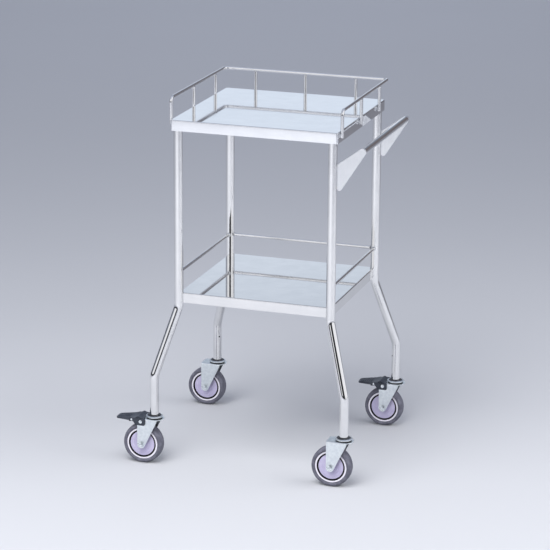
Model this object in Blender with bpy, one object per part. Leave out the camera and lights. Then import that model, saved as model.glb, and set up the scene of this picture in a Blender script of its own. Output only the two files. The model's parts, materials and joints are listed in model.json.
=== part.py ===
"""Instrument cart: two stainless shelves on four splayed tube legs with swivel casters.

Metres, +Z up, the floor at Z = 0. The user stands at -Y, and the push handle is on the +X side.
"""

import math

import bmesh
import bpy
from mathutils import Matrix, Vector

# Clearance between pieces that touch on the real cart
GAP = 0.0003

# Shelves
SHELF_WIDTH = 0.420
SHELF_DEPTH = 0.400
SHELF_TOP_Z = 0.865
SHELF_SKIRT = 0.026
SHELF_CORNER_R = 0.006
LOWER_TOP_Z = 0.433
LOWER_SKIRT = 0.025
SHEET = 0.0012
FOLD_R = 0.0025

# Legs
TUBE_DIA = 0.0222
TUBE_WALL = 0.0012
LEG_SKIRT_GAP_X = 0.0037
LEG_SKIRT_GAP_Y = 0.0007
SPLAY_X = 0.050
SPLAY_Y = 0.042
KNEE_DROP = 0.010
ANKLE_RISE = 0.0974
LEG_BEND_R = 0.045
FIXING_HOLE_DIA = 0.004
FIXING_HOLE_RISE = 0.064

# Guard rail and lower rails
ROD_DIA = 0.008
GUARD_HEIGHT = 0.050
GUARD_SETBACK = 0.020
GUARD_BEND_R = 0.012
POST_LAP = 0.015
SIDE_POST_INSET = 0.068
BACK_POST_INSET = 0.078
LOWER_RAIL_HEIGHT = 0.051

# Push handle
BAR_DIA = 0.016
BAR_WALL = 0.0012
BAR_REACH = 0.0733
BAR_DROP = 0.043
BRACKET_SHEET = 0.004
BRACKET_TIP_MARGIN = 0.0005
BRACKET_FALL = 0.035
BRACKET_EDGE = 0.063
BRACKET_FOOT_R = 0.006

# Casters: wheel
WHEEL_RADIUS = 0.050
TYRE_WIDTH = 0.030
TYRE_DEPTH = 0.010
TREAD_WIDTH = 0.014
SHOULDER = 0.003
RIM_BAND = 0.0045
RIM_WIDTH = 0.025
GROOVE_WIDTH = 0.004
GROOVE_DEPTH = 0.006
DISC_WIDTH = 0.022
BOSS_RADIUS = 0.010
TRAIL = 0.028

# Casters: fork, axle and swivel
TYRE_CLEARANCE = 0.004
FORK_SHEET = 0.002
FORK_FOLD_R = 0.004
CROWN_SHEET = 0.003
CROWN_CLEARANCE = 0.0147
CROWN_RADIUS = 0.023
CROWN_LIP = 0.004
CHEEK_TOP_REACH = 0.015
CHEEK_END_R = 0.010
AXLE_DIA = 0.008
AXLE_END = 0.002
SLEEVE_WALL = 0.002
HEX_ACROSS_FLATS = 0.013
BOLT_HEAD = 0.0053
NUT_HEIGHT = 0.0065
KINGPIN_DIA = 0.010
RIVET_RADIUS = 0.008
RIVET_HEIGHT = 0.004
RACE_HEIGHT = 0.003
RACE_INSET = 0.0015
HEAD_HEIGHT = 0.0050
HEAD_RADIUS = 0.021
HEAD_TOP_RADIUS = 0.0155
HEAD_BAND = 0.002
SPIGOT_LENGTH = 0.070
SPIGOT_CHAMFER = 0.0015

# Brakes
BRAKE_TRAVEL = math.radians(22.0)
PIN_DIA = 0.006
PIN_HEAD_R = 0.0045
PIN_HEAD = 0.0015
PIN_DROP = 0.004
PEDAL_SIDE_GAP = 0.0005
PEDAL_SHEET = 0.003
PEDAL_REACH = 0.068
PEDAL_TIP_WIDTH = 0.030
PEDAL_ROOT_WIDTH = 0.040
PEDAL_TIP_RISE = 0.0025
PEDAL_ROOT_RISE = 0.0073
PEDAL_UNDER = 0.001
PEDAL_TIP_R = 0.006
PEDAL_ROOT = 0.008
PEDAL_WEB = 0.006
PEDAL_WEB_GAP = 0.003
CHEEK_RISE = 0.0088
CHEEK_FALL = 0.0097
CHEEK_FRONT = 0.011
CHEEK_CORNER_R = 0.003
SHOE_WIDTH = 0.024
SHOE_CLEARANCE = 0.0007
SHOE_START = math.radians(26.0)
SHOE_END = math.radians(36.0)

# Facets and mesh settings
MERGE_DISTANCE = 1e-6
SMOOTH_ANGLE = math.radians(35.0)
FOLD_ANGLE = math.radians(60.0)
FOLD_SEGMENTS = 2
TUBE_SIDES = 16
ROD_SIDES = 8
WHEEL_SIDES = 26
TURNED_SIDES = 16
PIN_SIDES = 12
BEND_STEPS = 4
ARC_STEPS = 4

CORNERS = {
    "front_left": (-1, -1),
    "front_right": (1, -1),
    "back_left": (-1, 1),
    "back_right": (1, 1),
}
BRAKED_CORNERS = ("front_left", "back_right")

# Places worked out from the sizes above
TUBE_R = TUBE_DIA / 2
ROD_R = ROD_DIA / 2
BAR_R = BAR_DIA / 2
LEG_X = SHELF_WIDTH / 2 - SHEET - LEG_SKIRT_GAP_X - TUBE_R
LEG_Y = SHELF_DEPTH / 2 - SHEET - LEG_SKIRT_GAP_Y - TUBE_R
FOOT_X = LEG_X + SPLAY_X
FOOT_Y = LEG_Y + SPLAY_Y
CROWN_UNDER_Z = 2 * WHEEL_RADIUS + CROWN_CLEARANCE
CROWN_TOP_Z = CROWN_UNDER_Z + CROWN_SHEET
RACE_Z = CROWN_TOP_Z + GAP
HEAD_Z = RACE_Z + RACE_HEIGHT + GAP
LEG_FOOT_Z = HEAD_Z + HEAD_HEIGHT + GAP
FORK_INNER = TYRE_WIDTH / 2 + TYRE_CLEARANCE
FORK_OUTER = FORK_INNER + FORK_SHEET
PIN_Z = CROWN_UNDER_Z - PIN_DROP
TYRE_VERTEX_RATIO = 1 / math.cos(math.pi / WHEEL_SIDES)

FINISHES = {
    "polished_steel": ((0.78, 0.80, 0.83), 0.10, 1.0),
    "satin_steel": ((0.80, 0.81, 0.83), 0.30, 1.0),
    "plated_steel": ((0.70, 0.71, 0.72), 0.25, 1.0),
    "tyre_rubber": ((0.10, 0.10, 0.11), 0.75, 0.0),
    "hub_nylon": ((0.46, 0.41, 0.62), 0.45, 0.0),
    "pedal_nylon": ((0.06, 0.07, 0.09), 0.50, 0.0),
    "dark_race": ((0.03, 0.03, 0.035), 0.50, 0.0),
}


def clear_scene():
    """Remove whatever the file opened with."""
    for item in list(bpy.data.objects):
        bpy.data.objects.remove(item, do_unlink=True)


def make_materials():
    """One Principled BSDF material for each finish."""
    materials = {}
    for name, (colour, roughness, metallic) in FINISHES.items():
        finish = bpy.data.materials.new(name)
        finish.use_nodes = True
        shader = finish.node_tree.nodes["Principled BSDF"]
        shader.inputs["Base Color"].default_value = (*colour, 1.0)
        shader.inputs["Roughness"].default_value = roughness
        shader.inputs["Metallic"].default_value = metallic
        materials[name] = finish
    return materials


def add_empty(name, parent=None, location=(0.0, 0.0, 0.0)):
    """An axis or group that other objects hang from."""
    empty = bpy.data.objects.new(name, None)
    empty.parent = parent
    empty.location = location
    bpy.context.collection.objects.link(empty)
    return empty


def add_part(name, data, finish, parent, location=(0.0, 0.0, 0.0)):
    """A named sub-part with its finish, smooth across its shallow edges."""
    if isinstance(data, bpy.types.Mesh):
        data.shade_smooth()
        data.set_sharp_from_angle(angle=SMOOTH_ANGLE)
    if finish.name not in data.materials:
        data.materials.append(finish)
    part = bpy.data.objects.new(name, data)
    part.parent = parent
    part.location = location
    bpy.context.collection.objects.link(part)
    return part


def add_cutter(name, mesh, parent, location):
    """A cutter that stays in the file as a wire guide."""
    cutter = bpy.data.objects.new(name, mesh)
    cutter.parent = parent
    cutter.location = location
    cutter.hide_render = True
    cutter.display_type = "WIRE"
    bpy.context.collection.objects.link(cutter)
    return cutter


def mesh_from(shape, name):
    """Close a bmesh into a mesh with its faces pointing out."""
    bmesh.ops.remove_doubles(shape, verts=shape.verts, dist=MERGE_DISTANCE)
    bmesh.ops.recalc_face_normals(shape, faces=shape.faces)
    mesh = bpy.data.meshes.new(name)
    shape.to_mesh(mesh)
    shape.free()
    return mesh


def evaluated_mesh(item, name):
    """The mesh of an object with its modifiers applied; the object is used up."""
    bpy.context.collection.objects.link(item)
    graph = bpy.context.evaluated_depsgraph_get()
    mesh = bpy.data.meshes.new_from_object(item.evaluated_get(graph))
    mesh.name = name
    bpy.data.objects.remove(item)
    return mesh


def combine(mesh, tool_mesh, operation):
    """A Boolean of two meshes; both are used up."""
    host = bpy.data.objects.new("host", mesh)
    tool = bpy.data.objects.new("tool", tool_mesh)
    bpy.context.collection.objects.link(tool)
    step = host.modifiers.new("step", "BOOLEAN")
    step.operation = operation
    step.solver = "EXACT"
    step.object = tool
    result = evaluated_mesh(host, mesh.name)
    bpy.data.objects.remove(tool)
    return result


def arc(centre, radius, start, end, steps=ARC_STEPS):
    """Points on an arc from one angle to another, both ends included."""
    angles = [start + (end - start) * k / steps for k in range(steps + 1)]
    return [(centre[0] + radius * math.cos(a), centre[1] + radius * math.sin(a)) for a in angles]


def tangent_angle(centre, radius, point, side):
    """The angle on a circle where a line from an outside point touches it."""
    dx = point[0] - centre[0]
    dy = point[1] - centre[1]
    return math.atan2(dy, dx) + side * math.acos(radius / math.hypot(dx, dy))


def rounded_rectangle(width, depth, radius):
    """An anticlockwise outline centred on the origin."""
    outline = []
    for quarter, (sx, sy) in enumerate(((1, 1), (-1, 1), (-1, -1), (1, -1))):
        centre = (sx * (width / 2 - radius), sy * (depth / 2 - radius))
        start = quarter * math.pi / 2
        outline += arc(centre, radius, start, start + math.pi / 2)
    return outline


def prism(name, outline, low, high, plane):
    """A closed outline in the XZ, YZ or XY plane, drawn out along the third axis."""
    shape = bmesh.new()
    place = {
        "XZ": lambda u, v: (u, low, v),
        "YZ": lambda u, v: (low, u, v),
        "XY": lambda u, v: (u, v, low),
    }[plane]
    along = {"XZ": Vector((0, 1, 0)), "YZ": Vector((1, 0, 0)), "XY": Vector((0, 0, 1))}[plane]
    face = shape.faces.new([shape.verts.new(place(u, v)) for u, v in outline])
    grown = bmesh.ops.extrude_face_region(shape, geom=[face])["geom"]
    far = [item for item in grown if isinstance(item, bmesh.types.BMVert)]
    bmesh.ops.translate(shape, verts=far, vec=along * (high - low))
    return mesh_from(shape, name)


def turned(name, profile, sides, closed=False):
    """A (radius, height) profile revolved round Z; a closed profile leaves a bore."""
    shape = bmesh.new()
    points = [shape.verts.new((radius, 0.0, height)) for radius, height in profile]
    followers = points[1:] + points[:1] if closed else points[1:]
    edges = [shape.edges.new(pair) for pair in zip(points, followers)]
    bmesh.ops.spin(
        shape,
        geom=points + edges,
        cent=(0, 0, 0),
        axis=(0, 0, 1),
        angle=2 * math.pi,
        steps=sides,
        use_merge=True,
    )
    return mesh_from(shape, name)


def across(mesh):
    """Turn a mesh made round Z so that it lies along Y."""
    mesh.transform(Matrix.Rotation(math.radians(-90.0), 4, "X"))
    return mesh


def cylinder(name, radius, low, high, sides=PIN_SIDES):
    """A plain round bar along Z."""
    return turned(name, [(0, high), (radius, high), (radius, low), (0, low)], sides)


def rounded_path(corners, radius):
    """A path through the corners, with an arc at each bend."""
    path = [Vector(corners[0])]
    for before, here, after in zip(corners, corners[1:], corners[2:]):
        back = (Vector(before) - Vector(here)).normalized()
        ahead = (Vector(after) - Vector(here)).normalized()
        half = back.angle(ahead) / 2
        centre = Vector(here) + (back + ahead).normalized() * radius / math.sin(half)
        start = Vector(here) + back * radius / math.tan(half) - centre
        turn = Matrix.Rotation((math.pi - 2 * half) / BEND_STEPS, 3, back.cross(ahead))
        for _ in range(BEND_STEPS + 1):
            path.append(centre + start)
            start = turn.inverted() @ start
    path.append(Vector(corners[-1]))
    return path


def swept_curve(name, path, radius, sides, capped):
    """A round section carried along a path."""
    curve = bpy.data.curves.new(name, "CURVE")
    curve.dimensions = "3D"
    curve.bevel_depth = radius
    curve.bevel_resolution = sides // 2 - 2
    curve.use_fill_caps = capped
    spline = curve.splines.new("POLY")
    spline.points.add(len(path) - 1)
    for point, place in zip(spline.points, path):
        point.co = (*place, 1.0)
    return curve


def hollow_tube(name, path, radius, wall):
    """An open-ended tube with a wall thickness."""
    guide = bpy.data.objects.new("guide", swept_curve(name, path, radius, TUBE_SIDES, False))
    skin = evaluated_mesh(guide, name)
    shape = bmesh.new()
    shape.from_mesh(skin)
    host = bpy.data.objects.new("host", mesh_from(shape, name))
    thicken = host.modifiers.new("wall", "SOLIDIFY")
    thicken.thickness = wall
    thicken.offset = -1.0
    thicken.use_even_offset = True
    return evaluated_mesh(host, name)


def tray(name, outline, skirt):
    """A flat sheet with its edges turned down, still without a thickness."""
    shape = bmesh.new()
    top = shape.faces.new([shape.verts.new((x, y, 0.0)) for x, y in outline])
    grown = bmesh.ops.extrude_edge_only(shape, edges=list(top.edges))["geom"]
    low = [item for item in grown if isinstance(item, bmesh.types.BMVert)]
    bmesh.ops.translate(shape, verts=low, vec=(0, 0, -skirt))
    return mesh_from(shape, name)


def fold_sheet(part):
    """Round the fold of a tray and give the sheet its thickness."""
    fold = part.modifiers.new("fold", "BEVEL")
    fold.width = FOLD_R
    fold.segments = FOLD_SEGMENTS
    fold.limit_method = "ANGLE"
    fold.angle_limit = FOLD_ANGLE
    sheet = part.modifiers.new("sheet", "SOLIDIFY")
    sheet.thickness = SHEET
    sheet.offset = -1.0
    sheet.use_even_offset = True


def build_upper_shelf(cart, materials):
    """The working top: a flat tray turned upside down."""
    outline = rounded_rectangle(SHELF_WIDTH, SHELF_DEPTH, SHELF_CORNER_R)
    mesh = tray("upper_shelf", outline, SHELF_SKIRT)
    part = add_part("upper_shelf", mesh, materials["polished_steel"], cart, (0, 0, SHELF_TOP_Z))
    fold_sheet(part)


def build_lower_shelf(cart, materials):
    """The lower tray, its edges on the leg centre lines and its corners notched round the legs."""
    outline = [(sx * LEG_X, sy * LEG_Y) for sx, sy in ((-1, -1), (1, -1), (1, 1), (-1, 1))]
    mesh = tray("lower_shelf", outline, LOWER_SKIRT)
    part = add_part("lower_shelf", mesh, materials["polished_steel"], cart, (0, 0, LOWER_TOP_Z))
    fold_sheet(part)
    for name, (sx, sy) in CORNERS.items():
        notch = cylinder("notch_" + name, TUBE_R + GAP, -2 * LOWER_SKIRT, LOWER_SKIRT, 2 * TUBE_SIDES)
        cutter = add_cutter("notch_" + name, notch, cart, (sx * LEG_X, sy * LEG_Y, LOWER_TOP_Z))
        step = part.modifiers.new("notch", "BOOLEAN")
        step.operation = "DIFFERENCE"
        step.solver = "EXACT"
        step.object = cutter


def build_legs(cart, materials):
    """Four tubes: straight past both shelves, bent outwards, then straight down to the caster."""
    knee_z = LOWER_TOP_Z - LOWER_SKIRT - KNEE_DROP
    ankle_z = LEG_FOOT_Z + ANKLE_RISE
    top_z = SHELF_TOP_Z - SHEET - GAP
    for name, (sx, sy) in CORNERS.items():
        corners = [
            (sx * LEG_X, sy * LEG_Y, top_z),
            (sx * LEG_X, sy * LEG_Y, knee_z),
            (sx * FOOT_X, sy * FOOT_Y, ankle_z),
            (sx * FOOT_X, sy * FOOT_Y, LEG_FOOT_Z),
        ]
        mesh = hollow_tube("leg_" + name, rounded_path(corners, LEG_BEND_R), TUBE_R, TUBE_WALL)
        inward = Vector((-sx, -sy, 0)).normalized()
        hole = cylinder("hole", FIXING_HOLE_DIA / 2, TUBE_R / 2, 2 * TUBE_R, ROD_SIDES)
        place = Vector((sx * FOOT_X, sy * FOOT_Y, LEG_FOOT_Z + FIXING_HOLE_RISE))
        turn = Vector((0, 0, 1)).rotation_difference(inward).to_matrix().to_4x4()
        hole.transform(Matrix.Translation(place) @ turn)
        mesh = combine(mesh, hole, "DIFFERENCE")
        add_part("leg_" + name, mesh, materials["polished_steel"], cart)


def build_guard(cart, materials):
    """The rail round three sides of the upper shelf, and the posts that carry it."""
    steel = materials["polished_steel"]
    side_x = SHELF_WIDTH / 2 + GAP + ROD_R
    back_y = SHELF_DEPTH / 2 + GAP + ROD_R
    front_y = -SHELF_DEPTH / 2 + GUARD_SETBACK
    rail_z = SHELF_TOP_Z + GUARD_HEIGHT
    low_z = SHELF_TOP_Z - POST_LAP
    corners = [
        (-side_x, front_y, low_z),
        (-side_x, front_y, rail_z),
        (-side_x, back_y, rail_z),
        (side_x, back_y, rail_z),
        (side_x, front_y, rail_z),
        (side_x, front_y, low_z),
    ]
    path = rounded_path(corners, GUARD_BEND_R)
    add_part("upper_guard_rail", swept_curve("upper_guard_rail", path, ROD_R, ROD_SIDES, True), steel, cart)

    last_y = SHELF_DEPTH / 2 - SIDE_POST_INSET
    middle_y = (front_y + last_y) / 2
    back_x = SHELF_WIDTH / 2 - BACK_POST_INSET
    posts = {
        "left_middle": (-side_x, middle_y),
        "left_back": (-side_x, last_y),
        "right_middle": (side_x, middle_y),
        "right_back": (side_x, last_y),
        "back_left": (-back_x, back_y),
        "back_middle": (0.0, back_y),
        "back_right": (back_x, back_y),
    }
    top_z = rail_z - ROD_R - GAP
    for name, (x, y) in posts.items():
        rod = swept_curve("guard_post_" + name, [(x, y, low_z), (x, y, top_z)], ROD_R, ROD_SIDES, True)
        add_part("guard_post_" + name, rod, steel, cart)


def build_lower_rails(cart, materials):
    """Plain rods between the legs, above the lower shelf."""
    z = LOWER_TOP_Z + LOWER_RAIL_HEIGHT
    end_x = LEG_X - TUBE_R - GAP
    end_y = LEG_Y - TUBE_R - GAP
    runs = {
        "left": [(-LEG_X, -end_y, z), (-LEG_X, end_y, z)],
        "back": [(-end_x, LEG_Y, z), (end_x, LEG_Y, z)],
        "right": [(LEG_X, -end_y, z), (LEG_X, end_y, z)],
    }
    for name, path in runs.items():
        rod = swept_curve("lower_rail_" + name, path, ROD_R, ROD_SIDES, True)
        add_part("lower_rail_" + name, rod, materials["polished_steel"], cart)


def build_handle(cart, materials):
    """A bar along the right side, between two plates on the right legs."""
    bar_x = LEG_X + BAR_REACH
    bar_z = SHELF_TOP_Z - BAR_DROP
    edge_x = LEG_X + TUBE_R + GAP
    edge_top = (edge_x, bar_z - BRACKET_FALL)
    foot = (edge_x + BRACKET_FOOT_R, bar_z - BRACKET_FALL - BRACKET_EDGE + BRACKET_FOOT_R)
    tip = (bar_x, bar_z)
    tip_r = BAR_R + BRACKET_TIP_MARGIN
    lower_start = tangent_angle(tip, tip_r - BRACKET_FOOT_R, foot, 1)
    upper_end = tangent_angle(tip, tip_r, edge_top, -1)
    outline = [edge_top]
    outline += arc(foot, BRACKET_FOOT_R, math.pi, 2 * math.pi + lower_start)
    outline += arc(tip, tip_r, lower_start, upper_end + 2 * math.pi, 2 * ARC_STEPS)
    for name, side in (("front", -1), ("back", 1)):
        low = side * LEG_Y - BRACKET_SHEET / 2
        mesh = prism("handle_bracket_" + name, outline, low, low + BRACKET_SHEET, "XZ")
        add_part("handle_bracket_" + name, mesh, materials["satin_steel"], cart)
    end_y = LEG_Y - BRACKET_SHEET / 2 - GAP
    path = [(bar_x, -end_y, bar_z), (bar_x, end_y, bar_z)]
    mesh = hollow_tube("handle_bar", path, BAR_R, BAR_WALL)
    add_part("handle_bar", mesh, materials["polished_steel"], cart)


def swivel_head_mesh():
    """Spigot in the leg, cone-shaped cap and riveted kingpin, made as one turned piece."""
    bore_flat = (TUBE_R - TUBE_WALL) * math.cos(math.pi / TUBE_SIDES)
    spigot_r = bore_flat - GAP
    spigot_top = LEG_FOOT_Z + SPIGOT_LENGTH
    head_top = HEAD_Z + HEAD_HEIGHT
    rivet_top = CROWN_UNDER_Z - GAP
    rivet_low = rivet_top - RIVET_HEIGHT
    profile = [
        (0, spigot_top),
        (spigot_r - SPIGOT_CHAMFER, spigot_top),
        (spigot_r, spigot_top - SPIGOT_CHAMFER),
        (spigot_r, head_top),
        (HEAD_TOP_RADIUS, head_top),
        (HEAD_RADIUS, HEAD_Z + HEAD_BAND),
        (HEAD_RADIUS, HEAD_Z),
        (KINGPIN_DIA / 2, HEAD_Z),
        (KINGPIN_DIA / 2, rivet_top),
        (RIVET_RADIUS, rivet_top),
        (RIVET_RADIUS / 2, rivet_low),
        (0, rivet_low),
    ]
    return turned("swivel_head", profile, TURNED_SIDES)


def ring_mesh(name, inner, outer, low, high, sides):
    """A plain ring round Z."""
    return turned(name, [(inner, high), (outer, high), (outer, low), (inner, low)], sides, closed=True)


def fork_mesh(braked):
    """A folded channel cut to the fork's side view and plan, then drilled."""
    low = WHEEL_RADIUS - 2 * CHEEK_END_R
    fold = FORK_FOLD_R
    inner_fold = max(FORK_FOLD_R - FORK_SHEET, GAP)
    left = -TRAIL - CHEEK_END_R
    channel = [(-FORK_OUTER, low)]
    channel += arc((-FORK_OUTER + fold, CROWN_TOP_Z - fold), fold, math.pi, math.pi / 2)
    channel += arc((FORK_OUTER - fold, CROWN_TOP_Z - fold), fold, math.pi / 2, 0)
    channel += [(FORK_OUTER, low), (FORK_INNER, low)]
    channel += arc((FORK_INNER - inner_fold, CROWN_UNDER_Z - inner_fold), inner_fold, 0, math.pi / 2)
    channel += arc((-FORK_INNER + inner_fold, CROWN_UNDER_Z - inner_fold), inner_fold, math.pi / 2, math.pi)
    channel.append((-FORK_INNER, low))
    mesh = prism("fork", channel, left, CROWN_RADIUS, "YZ")

    over = CROWN_RADIUS + CHEEK_END_R
    end = (-TRAIL, WHEEL_RADIUS)
    lip = (CHEEK_TOP_REACH, CROWN_UNDER_Z - CROWN_LIP)
    touch = tangent_angle(end, CHEEK_END_R, lip, -1)
    side_view = [(left, CROWN_TOP_Z + over), (over, CROWN_TOP_Z + over), (over, lip[1]), lip]
    side_view += arc(end, CHEEK_END_R, touch, -math.pi, 2 * ARC_STEPS)
    mesh = combine(mesh, prism("side", side_view, -over, over, "XZ"), "INTERSECT")

    plan = [(left - over, CROWN_RADIUS), (left - over, -CROWN_RADIUS)]
    plan += arc((0, 0), CROWN_RADIUS, -math.pi / 2, math.pi / 2, 3 * ARC_STEPS)
    mesh = combine(mesh, prism("plan", plan, 0, 2 * CROWN_TOP_Z, "XY"), "INTERSECT")

    kingpin = cylinder("hole", KINGPIN_DIA / 2 + GAP, CROWN_UNDER_Z - over, CROWN_TOP_Z + over)
    mesh = combine(mesh, kingpin, "DIFFERENCE")
    holes = [(AXLE_DIA, WHEEL_RADIUS)]
    if braked:
        holes.append((PIN_DIA, PIN_Z))
    for diameter, z in holes:
        hole = across(cylinder("hole", diameter / 2 + GAP, -over, over))
        hole.transform(Matrix.Translation((-TRAIL, 0, z)))
        mesh = combine(mesh, hole, "DIFFERENCE")
    return mesh


def hexagon(name, low, high):
    """A six-sided bar along Z, of the size of the axle's nut and bolt head."""
    return cylinder(name, HEX_ACROSS_FLATS / 2 / math.cos(math.pi / 6), low, high, 6)


def axle_bolt_mesh():
    """Bolt along Y: its head behind the fork, its threaded end in front, past the nut."""
    seat = FORK_OUTER + GAP
    head = hexagon("axle_bolt", seat, seat + BOLT_HEAD)
    shank = cylinder("shank", AXLE_DIA / 2, -seat - NUT_HEIGHT - AXLE_END, seat + BOLT_HEAD / 2)
    return across(combine(head, shank, "UNION"))


def axle_nut_mesh():
    """Nut on the bolt's front end."""
    seat = FORK_OUTER + GAP
    nut = hexagon("axle_nut", -seat - NUT_HEIGHT, -seat)
    bore = cylinder("bore", AXLE_DIA / 2 + GAP, -seat - 2 * NUT_HEIGHT, 0)
    return across(combine(nut, bore, "DIFFERENCE"))


def wheel_profiles():
    """The (radius, height) sections of hub and tyre, each a closed loop round its bore."""
    rim_r = WHEEL_RADIUS - TYRE_DEPTH
    band_r = rim_r - RIM_BAND
    disc_r = band_r - GROOVE_WIDTH
    bore_r = AXLE_DIA / 2 + GAP + SLEEVE_WALL + GAP
    boss = FORK_INNER - GAP
    floor = DISC_WIDTH / 2 - GROOVE_DEPTH
    half_hub = [
        (bore_r, boss),
        (BOSS_RADIUS, boss),
        (BOSS_RADIUS, DISC_WIDTH / 2),
        (disc_r, DISC_WIDTH / 2),
        (disc_r, floor),
        (band_r, floor),
        (band_r, RIM_WIDTH / 2),
        (rim_r - GAP, RIM_WIDTH / 2),
    ]
    half_tyre = [
        (rim_r, RIM_WIDTH / 2),
        (rim_r + SHOULDER, TYRE_WIDTH / 2),
        (WHEEL_RADIUS - SHOULDER, TYRE_WIDTH / 2 - SHOULDER / 4),
        (WHEEL_RADIUS, TREAD_WIDTH / 2),
    ]
    profiles = []
    for half in (half_hub, half_tyre):
        loop = half + [(radius, -height) for radius, height in reversed(half)]
        profiles.append([(radius * TYRE_VERTEX_RATIO, height) for radius, height in loop])
    return profiles


def pedal_mesh():
    """A side view drawn across the fork, trimmed to the pedal's plan and slotted for fork and wheel."""
    half = FORK_OUTER + PEDAL_SIDE_GAP + PEDAL_SHEET
    slot_x = -CHEEK_END_R - PEDAL_WEB_GAP
    web_x = slot_x - PEDAL_WEB
    root_x = web_x - PEDAL_ROOT
    corner = CHEEK_CORNER_R
    side_view = [(-PEDAL_REACH, PEDAL_TIP_RISE), (-PEDAL_REACH, -PEDAL_UNDER), (web_x, -PEDAL_UNDER)]
    side_view.append((slot_x, -CHEEK_FALL))
    side_view += arc((CHEEK_FRONT - corner, corner - CHEEK_FALL), corner, -math.pi / 2, 0)
    side_view += arc((CHEEK_FRONT - corner, CHEEK_RISE - corner), corner, 0, math.pi / 2)
    side_view += [(web_x, CHEEK_RISE), (root_x, PEDAL_ROOT_RISE)]
    mesh = prism("brake_pedal", side_view, -half, half, "XZ")

    tip_y = PEDAL_TIP_WIDTH / 2 - PEDAL_TIP_R
    tip_x = -PEDAL_REACH + PEDAL_TIP_R
    root_y = PEDAL_ROOT_WIDTH / 2
    over = CHEEK_FRONT + half
    plan = [(over, -half), (over, half), (web_x, half), (root_x, root_y)]
    plan += arc((tip_x, tip_y), PEDAL_TIP_R, math.pi / 2, math.pi)
    plan += arc((tip_x, -tip_y), PEDAL_TIP_R, math.pi, 3 * math.pi / 2)
    plan += [(root_x, -root_y), (web_x, -half)]
    mesh = combine(mesh, prism("plan", plan, -over, over, "XY"), "INTERSECT")

    clear = FORK_OUTER + PEDAL_SIDE_GAP
    slot = [(slot_x, over), (slot_x, -PEDAL_UNDER), (web_x, -PEDAL_UNDER)]
    slot += [(web_x, -over), (over, -over), (over, over)]
    mesh = combine(mesh, prism("slot", slot, -clear, clear, "XZ"), "DIFFERENCE")
    pivot = across(cylinder("hole", PIN_DIA / 2 + GAP, -over, over))
    return combine(mesh, pivot, "DIFFERENCE")


def shoe_mesh():
    """A block under the pedal whose hollow face comes down on the tread at full travel."""
    reach = WHEEL_RADIUS * TYRE_VERTEX_RATIO + SHOE_CLEARANCE
    drop = PIN_Z - WHEEL_RADIUS
    release = Matrix.Rotation(-BRAKE_TRAVEL, 2)
    face = []
    for x, z in arc((0, -drop), reach, math.pi / 2 + SHOE_START, math.pi / 2 + SHOE_END):
        face.append(tuple(release @ Vector((x, z))))
    top = -PEDAL_UNDER - GAP
    outline = face + [(face[-1][0], top), (face[0][0], top)]
    return prism("brake_shoe", outline, -SHOE_WIDTH / 2, SHOE_WIDTH / 2, "XZ")


def pin_mesh():
    """A rivet along Y through fork and pedal, with a flat head at both ends."""
    seat = FORK_OUTER + PEDAL_SIDE_GAP + PEDAL_SHEET + GAP
    end = seat + PIN_HEAD
    profile = [(0, end), (PIN_HEAD_R, end), (PIN_HEAD_R, seat), (PIN_DIA / 2, seat)]
    profile += [(radius, -height) for radius, height in reversed(profile)]
    return across(turned("brake_pin", profile, PIN_SIDES))


def build_casters(cart, materials):
    """Four swivel casters, all trailing towards -X, two of them with a brake."""
    head = swivel_head_mesh()
    race_bore = KINGPIN_DIA / 2 + GAP
    race_rim = HEAD_RADIUS - RACE_INSET
    race = ring_mesh("swivel_race", race_bore, race_rim, RACE_Z, RACE_Z + RACE_HEIGHT, TURNED_SIDES)
    forks = {braked: fork_mesh(braked) for braked in (False, True)}
    bolt = axle_bolt_mesh()
    nut = axle_nut_mesh()
    sleeve_bore = AXLE_DIA / 2 + GAP
    sleeve_half = FORK_INNER - GAP
    sleeve_rim = sleeve_bore + SLEEVE_WALL
    sleeve = across(ring_mesh("axle_sleeve", sleeve_bore, sleeve_rim, -sleeve_half, sleeve_half, PIN_SIDES))
    hub_profile, tyre_profile = wheel_profiles()
    hub = across(turned("hub", hub_profile, WHEEL_SIDES, closed=True))
    tyre = across(turned("tyre", tyre_profile, WHEEL_SIDES, closed=True))
    brake_meshes = (pedal_mesh(), shoe_mesh(), pin_mesh())

    for name, (sx, sy) in CORNERS.items():
        braked = name in BRAKED_CORNERS
        swivel = add_empty("swivel_" + name, cart, (sx * FOOT_X, sy * FOOT_Y, 0))
        wheel = add_empty("wheel_" + name, swivel, (-TRAIL, 0, WHEEL_RADIUS))
        add_part("swivel_head_" + name, head, materials["plated_steel"], swivel)
        add_part("swivel_race_" + name, race, materials["dark_race"], swivel)
        add_part("fork_" + name, forks[braked], materials["plated_steel"], swivel)
        add_part("axle_bolt_" + name, bolt, materials["plated_steel"], wheel)
        add_part("axle_nut_" + name, nut, materials["plated_steel"], wheel)
        add_part("axle_sleeve_" + name, sleeve, materials["plated_steel"], wheel)
        add_part("hub_" + name, hub, materials["hub_nylon"], wheel)
        add_part("tyre_" + name, tyre, materials["tyre_rubber"], wheel)
        if braked:
            build_brake(name, brake_meshes, swivel, materials)


def build_brake(name, meshes, swivel, materials):
    """A pedal with its shoe on a pin through the fork, above the wheel."""
    pedal, shoe, pin = meshes
    pivot = add_empty("brake_" + name, swivel, (-TRAIL, 0, PIN_Z))
    add_part("brake_pedal_" + name, pedal, materials["pedal_nylon"], pivot)
    add_part("brake_shoe_" + name, shoe, materials["tyre_rubber"], pivot)
    add_part("brake_pin_" + name, pin, materials["plated_steel"], pivot)


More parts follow.
